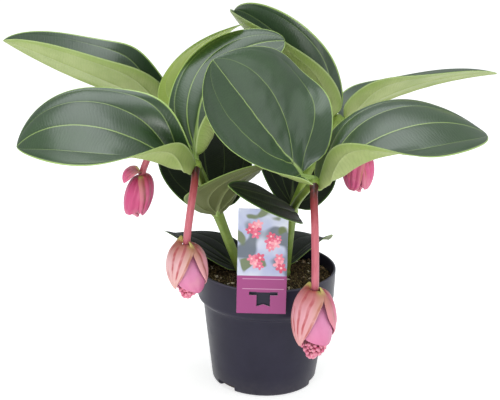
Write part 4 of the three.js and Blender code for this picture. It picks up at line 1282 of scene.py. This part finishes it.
bud_skin = two_tone("ball_buds", (0.66, 0.12, 0.24), (0.82, 0.34, 0.42), 220.0, 0.2, Roughness=0.3,
                    Specular_IOR_Level=0.5)
# painted shade: a dark maroon core that fills the gaps between the ball buds
bud_core_shade = two_tone("dark_core_painted_shade", (0.10, 0.012, 0.022), (0.26, 0.04, 0.07), 300.0, 0.2, Roughness=0.6)

stalk_skin, point = new_material("rosy_stalk", Roughness=0.4)
colour = ramp(attribute(point.tree, "along"), [
    (0.0, (0.030, 0.014, 0.010)), (0.07, (0.055, 0.018, 0.014)), (0.15, (0.30, 0.045, 0.045)),
    (0.30, (0.56, 0.12, 0.15)), (1.0, (0.62, 0.16, 0.22))])
streaks = drawn_out(point, 0.06)
streak = step_between(noise(streaks, 300.0, 3.0), 0.44, 0.66)
paint(stalk_skin, Base_Color=blend(streak * 0.45, colour, (0.34, 0.035, 0.055)),
      Normal=bump(noise(streaks, 500.0, 3.0), 0.3, 0.0006))

# %% Bracts and stalks
BRACTS = (("outer_1", "bract_outer_{}_1", "bract_outer", [shaded_inside_face, outer_face]),
          ("outer_2", "bract_outer_{}_2", "bract_outer", [shaded_inside_face, outer_face]),
          ("inner", "bract_inner_{}", "bract_inner", [hollow_face, inner_face]))


def stalk_radius(share, angles):
    swell = 0.18 * math.exp(-(share / 0.05) ** 2)
    return PEDUNCLE_RADIUS * (0.98 + swell + 0.035 * np.cos(4 * angles))


bloom_faces = 0
for bloom in BLOOMS:
    joint = JOINTS[bloom["joint"]]
    start = joint + PEDUNCLE_START * (np.array(bloom["via"][0]) - joint)
    end = axis_at(bloom, PEDUNCLE_REACH)
    points, faces, shares = rod_mesh([start, *bloom["via"], bloom["neck"], end], stalk_radius, 64, 28)
    stalk = mesh_object("stalk_" + bloom["name"], points * MM, faces, [stalk_skin])
    point_values(stalk, "along", shares)
    finish_piece(stalk, "peduncle", "peduncle_" + bloom["name"])
    bloom_faces += len(faces)
    for (bract_name, node_name, slot, skins), tone in zip(BRACTS, bloom["tones"]):
        bract = dict(zip(BRACT_KEYS, bloom["bracts"][bract_name]))
        ribs = 0.1 + 0.6 * tone if bract_name == "inner" else 0.3 + 0.45 * tone
        grid, across, along = bract_grid(bloom, bract, ribs)
        points, faces, kinds = sheet_mesh(grid, BRACT_HALF_THICKNESS)
        piece = mesh_object(f"bract_{bract_name}_{bloom['name']}", points * MM, faces, skins, kinds)
        point_values(piece, "across", np.tile(across, 2 * len(along)))
        point_values(piece, "along", np.tile(np.repeat(along, len(across)), 2))
        point_values(piece, "tone", np.full(len(points), tone))
        finish_piece(piece, slot, node_name.format(bloom["name"]))
        bloom_faces += len(faces)
print("bloom sheets and stalks:", bloom_faces, "faces")

# %% [markdown]
# Ball buds crowd the mouth of each bloom. The golden angle spreads them evenly over the low half of a
# core, as it does on a real flower head, so a Geometry Nodes tree computes their places from the index of
# each point and sets a small sphere on each.

# %% Buds by Geometry Nodes
BALL_RADIUS = 2.4
CAD_BALL_RADIUS = 3.4
GOLDEN_ANGLE = math.pi * (3 - math.sqrt(5))
bud_tree, given, bud_inputs = geometry_group(
    "golden_buds",
    [("Count", INT), ("Core Radius", FLOAT), ("Core Height", FLOAT), ("Ball Radius", FLOAT),
     ("Seed", INT), ("Finish", MATERIAL), ("Core Finish", MATERIAL)],
)
index = wire(bud_tree, "GeometryNodeInputIndex")
polar = ((index + 0.5) / given["Count"]).math("SQRT") * (0.5 * math.pi)
turn = index * GOLDEN_ANGLE
uneven = random_float(0.9, 1.12, given["Seed"])
out = polar.math("SINE") * given["Core Radius"] * uneven
drop = polar.math("COSINE") * given["Core Height"] * uneven
place = wire(bud_tree, "ShaderNodeCombineXYZ", (
    out * turn.math("COSINE"), out * turn.math("SINE"), drop * -1.0))
dots = wire(bud_tree, "GeometryNodePoints", {"Count": given["Count"], "Position": place})
sphere = wire(bud_tree, "GeometryNodeMeshIcoSphere", {"Radius": given["Ball Radius"], "Subdivisions": 3})
balls = instances(dots, sphere, Scale=random_float(0.8, 1.15, given["Seed"]))
# The core is dark maroon: painted shade in the gaps between the balls.
core = wire(bud_tree, "GeometryNodeMeshUVSphere", {"Segments": 24, "Rings": 16, "Radius": 1.0})
core_scale = wire(bud_tree, "ShaderNodeCombineXYZ", (
    given["Core Radius"], given["Core Radius"], given["Core Height"]))
core_placed = wire(bud_tree, "GeometryNodeTransform", {"Geometry": core, "Scale": core_scale})
together = node(bud_tree, "GeometryNodeJoinGeometry")
for part in (painted(core_placed, given["Core Finish"]), painted(balls, given["Finish"])):
    fill(together.inputs[0], part)
smooth = wire(bud_tree, "GeometryNodeSetShadeSmooth", (Wire(bud_tree, together.outputs[0]),))
node(bud_tree, "NodeGroupOutput", (smooth,))

for bloom in BLOOMS:
    top = axis_at(bloom, PEDUNCLE_REACH)[2] - SEAT_GAP
    low = bloom["neck"][2] - bloom["length"] - bloom["drop"]
    middle = axis_at(bloom, (bloom["neck"][2] - (top + low) / 2) / bloom["length"]) * MM
    cluster = mesh_object("buds_of_" + bloom["name"], [(0, 0, 0)], [])
    grown(cluster, bud_tree, bud_inputs, {
        "Count": bloom["balls"], "Core Radius": (bloom["cluster"] - CAD_BALL_RADIUS) * MM,
        "Core Height": (top - low) / 2 * MM, "Ball Radius": BALL_RADIUS * MM, "Seed": 3,
        "Finish": bud_skin, "Core Finish": bud_core_shade})
    cluster.data.transform(Matrix.Translation(middle))
    finish_piece(cluster, "bud", "buds_" + bloom["name"])
print("bud clusters:", [bloom["balls"] for bloom in BLOOMS])

# %% [markdown]
# ## Hook tag
# A printed card stands against the rim. A T-shaped tab is cut from its lower half, folds back over the
# rim and hangs inside the pot, so the pot shows through the hole it leaves. The card is a flat curve with
# a hole, given thickness and a tiny bevel; the tab is a bent strip.

# %% Tag shape
TAG = {"left": -35, "right": 22.6, "bottom": 119.4, "top": 248.6, "thickness": 0.8, "slot_middle": -4,
       "slot_top": 146.6, "arm_width": 33.6, "arm_height": 4.4, "neck_width": 16, "neck_bottom": 128,
       "leg_length": 15.5, "notch": 3}
TAG_BACK = -(RIM_RADIUS + SEAT_GAP)
BAND_TAPER = 2.4


def tag_card():
    arm, neck = TAG["arm_width"] / 2, TAG["neck_width"] / 2
    arm_bottom = TAG["slot_top"] - TAG["arm_height"]
    hole = [(-arm, TAG["slot_top"]), (-arm, arm_bottom), (-neck, arm_bottom), (-neck, TAG["neck_bottom"]),
            (0, TAG["neck_bottom"] + TAG["notch"]), (neck, TAG["neck_bottom"]), (neck, arm_bottom),
            (arm, arm_bottom), (arm, TAG["slot_top"])]
    hole = [(TAG["slot_middle"] + x, z) for x, z in hole]
    edge = [(TAG["left"], TAG["bottom"]), (TAG["right"], TAG["bottom"]), (TAG["right"], TAG["top"]),
            (TAG["left"], TAG["top"])]
    curve = bpy.data.curves.new("tag_card", "CURVE")
    curve.dimensions = "2D"
    curve.fill_mode = "BOTH"
    curve.extrude = (TAG["thickness"] / 2 - 0.1) * MM
    curve.bevel_depth = 0.1 * MM
    for outline in (edge, hole):
        spline = curve.splines.new("POLY")
        spline.points.add(len(outline) - 1)
        spline.points.foreach_set("co", [c for x, z in outline for c in (x * MM, z * MM, 0, 1)])
        spline.use_cyclic_u = True
    drawn = bpy.data.objects.new("tag_card", curve)
    bpy.context.scene.collection.objects.link(drawn)
    bpy.context.view_layer.update()
    mesh = bpy.data.meshes.new_from_object(drawn.evaluated_get(bpy.context.evaluated_depsgraph_get()))
    bpy.data.objects.remove(drawn)
    turn = Matrix(((1, 0, 0, 0), (0, 0, -1, (TAG_BACK - TAG["thickness"] / 2) * MM), (0, 1, 0, 0),
                   (0, 0, 0, 1)))
    mesh.transform(turn)
    return mesh


def tag_tab():
    """The strip that leaves the card, bends over the rim and hangs inside."""
    half = TAG["neck_width"] / 2
    inside = (RIM_RADIUS - BAND_TAPER - POT_WALL) * math.cos(math.pi / 40)
    front = TAG_BACK - TAG["thickness"] / 2
    leg = -math.sqrt(inside ** 2 - (half - TAG["slot_middle"]) ** 2) + SEAT_GAP + TAG["thickness"] / 2
    over = POT_HEIGHT + SEAT_GAP + TAG["thickness"] / 2
    bend = 0.9
    route = [(front, TAG["slot_top"] - 0.6)]
    route += [(front + bend - bend * math.cos(a), over - bend + bend * math.sin(a))
              for a in np.linspace(0, math.pi / 2, 7)]
    route += [(leg - bend + bend * math.sin(a), over - bend + bend * math.cos(a))
              for a in np.linspace(0, math.pi / 2, 7)]
    route += [(leg, z) for z in np.linspace(over - 2, over - TAG["leg_length"], 8)]
    route = np.array(route)
    tangents = unit(np.gradient(route, axis=0))
    normals = np.stack([-tangents[:, 1], tangents[:, 0]], axis=1)
    points, faces = [], []
    for k, ((y, z), (ny, nz)) in enumerate(zip(route, normals)):
        last = k == len(route) - 1
        for x in (-half, 0, half):
            lift = TAG["notch"] if last and x == 0 else 0
            for side in (1, -1):
                thick = side * TAG["thickness"] / 2
                points.append((TAG["slot_middle"] + x, y + ny * thick, z + nz * thick + lift))
    around = (0, 2, 4, 5, 3, 1)
    for a in range(0, (len(route) - 1) * 6, 6):
        faces += [(a + j, a + k, a + 6 + k, a + 6 + j) for j, k in zip(around, around[1:] + around[:1])]
    end = (len(route) - 1) * 6
    faces += [(0, 1, 3, 2), (2, 3, 5, 4), (end, end + 2, end + 3, end + 1),
              (end + 2, end + 4, end + 5, end + 3)]
    return np.array(points) * MM, faces


card = bpy.data.objects.new("hook_tag", tag_card())
bpy.context.scene.collection.objects.link(card)
tab_points, tab_faces = tag_tab()
tab = mesh_object("tag_tab", tab_points, tab_faces, smooth=False)
print("tag faces:", len(card.data.polygons), "+", len(tab.data.polygons))

# %% [markdown]
# The print is our own: a magenta foot with two paler hairlines, and above it a lilac ground with slate and
# moss patches and bunches of five-petalled blossoms. A petal outline is a circle whose radius swings with
# the angle, so one small group draws every blossom from its centre, size and turn. The back is plain.

# %% Tag print
blossom, given = shader_group("blossom", X=0.0, Z=0.0, Centre_X=0.0, Centre_Z=0.0, Size=10.0, Turn=0.0)
dx = given["X"] - given["Centre X"]
dz = given["Z"] - given["Centre Z"]
away = (dx * dx + dz * dz).math("SQRT")
angle = dz.math("ARCTAN2", dx) + given["Turn"]
reach = (abs((angle * 2.5).math("COSINE")) * 0.55 + 0.45) * given["Size"]
give_out(blossom, Petals=step_between(reach - away, -0.5, 0.6),
         Heart=step_between(given["Size"] * 0.22 - away, -0.15, 0.2))

BUNCHES = (((-15, 224), 5), ((5, 209), 6), ((-13, 186), 5), ((13, 181), 3))
PETAL_COLOURS = ((0.70, 0.09, 0.17), (0.82, 0.22, 0.30), (0.76, 0.14, 0.24), (0.88, 0.36, 0.42))
printed_card, point = new_material("printed_card", Roughness=0.28, Specular_IOR_Level=0.5)
x_mm, z_mm = axis_mm(point, 0), axis_mm(point, 2)
picture = blend(step_between(noise(point, 28.0, 2.0), 0.35, 0.65), (0.42, 0.46, 0.66), (0.66, 0.69, 0.78))
slate = step_between(noise(point, 33.0, 1.0, 0.3), 0.52, 0.60)
picture = blend(slate * 0.85, picture, (0.075, 0.10, 0.115))
moss = step_between(noise(point, 47.0, 1.0, 0.3), 0.57, 0.63)
picture = blend(moss * 0.9, picture, (0.13, 0.17, 0.045))
for bunch, (middle, count) in enumerate(BUNCHES):
    for k in range(count):
        spin = 2.4 * k + bunch
        spread = 7.5 * math.sqrt(k / count)
        motif = placed(point.tree, blossom, X=x_mm, Z=z_mm, Centre_X=middle[0] + spread * math.cos(spin),
                       Centre_Z=middle[1] + 1.3 * spread * math.sin(spin), Size=7.2 - 0.5 * k, Turn=spin)
        picture = blend(motif["Petals"], picture, PETAL_COLOURS[(k + bunch) % len(PETAL_COLOURS)])
        picture = blend(motif["Heart"], picture, (0.88, 0.52, 0.54))
picture = blend(step_between(z_mm, 166.9, 166.3), picture, (0.34, 0.045, 0.20))
for line_at in (162.6, 150.2):
    line = line_mask(abs(z_mm - line_at), 0.5)
    line = line * step_between(x_mm, -29.0, -28.4) * step_between(x_mm, 20.0, 19.4)
    picture = blend(line * 0.8, picture, (0.75, 0.45, 0.62))
paint(printed_card, Base_Color=picture, Normal=bump(noise(point, 300.0, 3.0), 0.05, 0.0003))
plain_card = two_tone("unprinted_card", (0.30, 0.04, 0.18), (0.36, 0.05, 0.21), 30.0, 0.3, Roughness=0.4)
cut_edge = two_tone("cut_edge", (0.74, 0.68, 0.74), (0.88, 0.86, 0.88), 90.0, 0.3, Roughness=0.5)

card.data.materials.clear()
for finish in (printed_card, cut_edge):
    card.data.materials.append(finish)
for face in card.data.polygons:
    face.material_index = int(face.normal.y > -0.5)
tab.data.materials.append(plain_card)
finish_piece(card, "label_card", "label")
finish_piece(tab, "label_card")
print("tag finishes:", printed_card.name, plain_card.name, cut_edge.name)

# %% Finish
shown_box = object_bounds()
for label, (low_corner, high_corner) in (("solids", cad_box), ("dressed", shown_box)):
    print(label, [round(v * 1000, 1) for v in (*low_corner, *high_corner)])
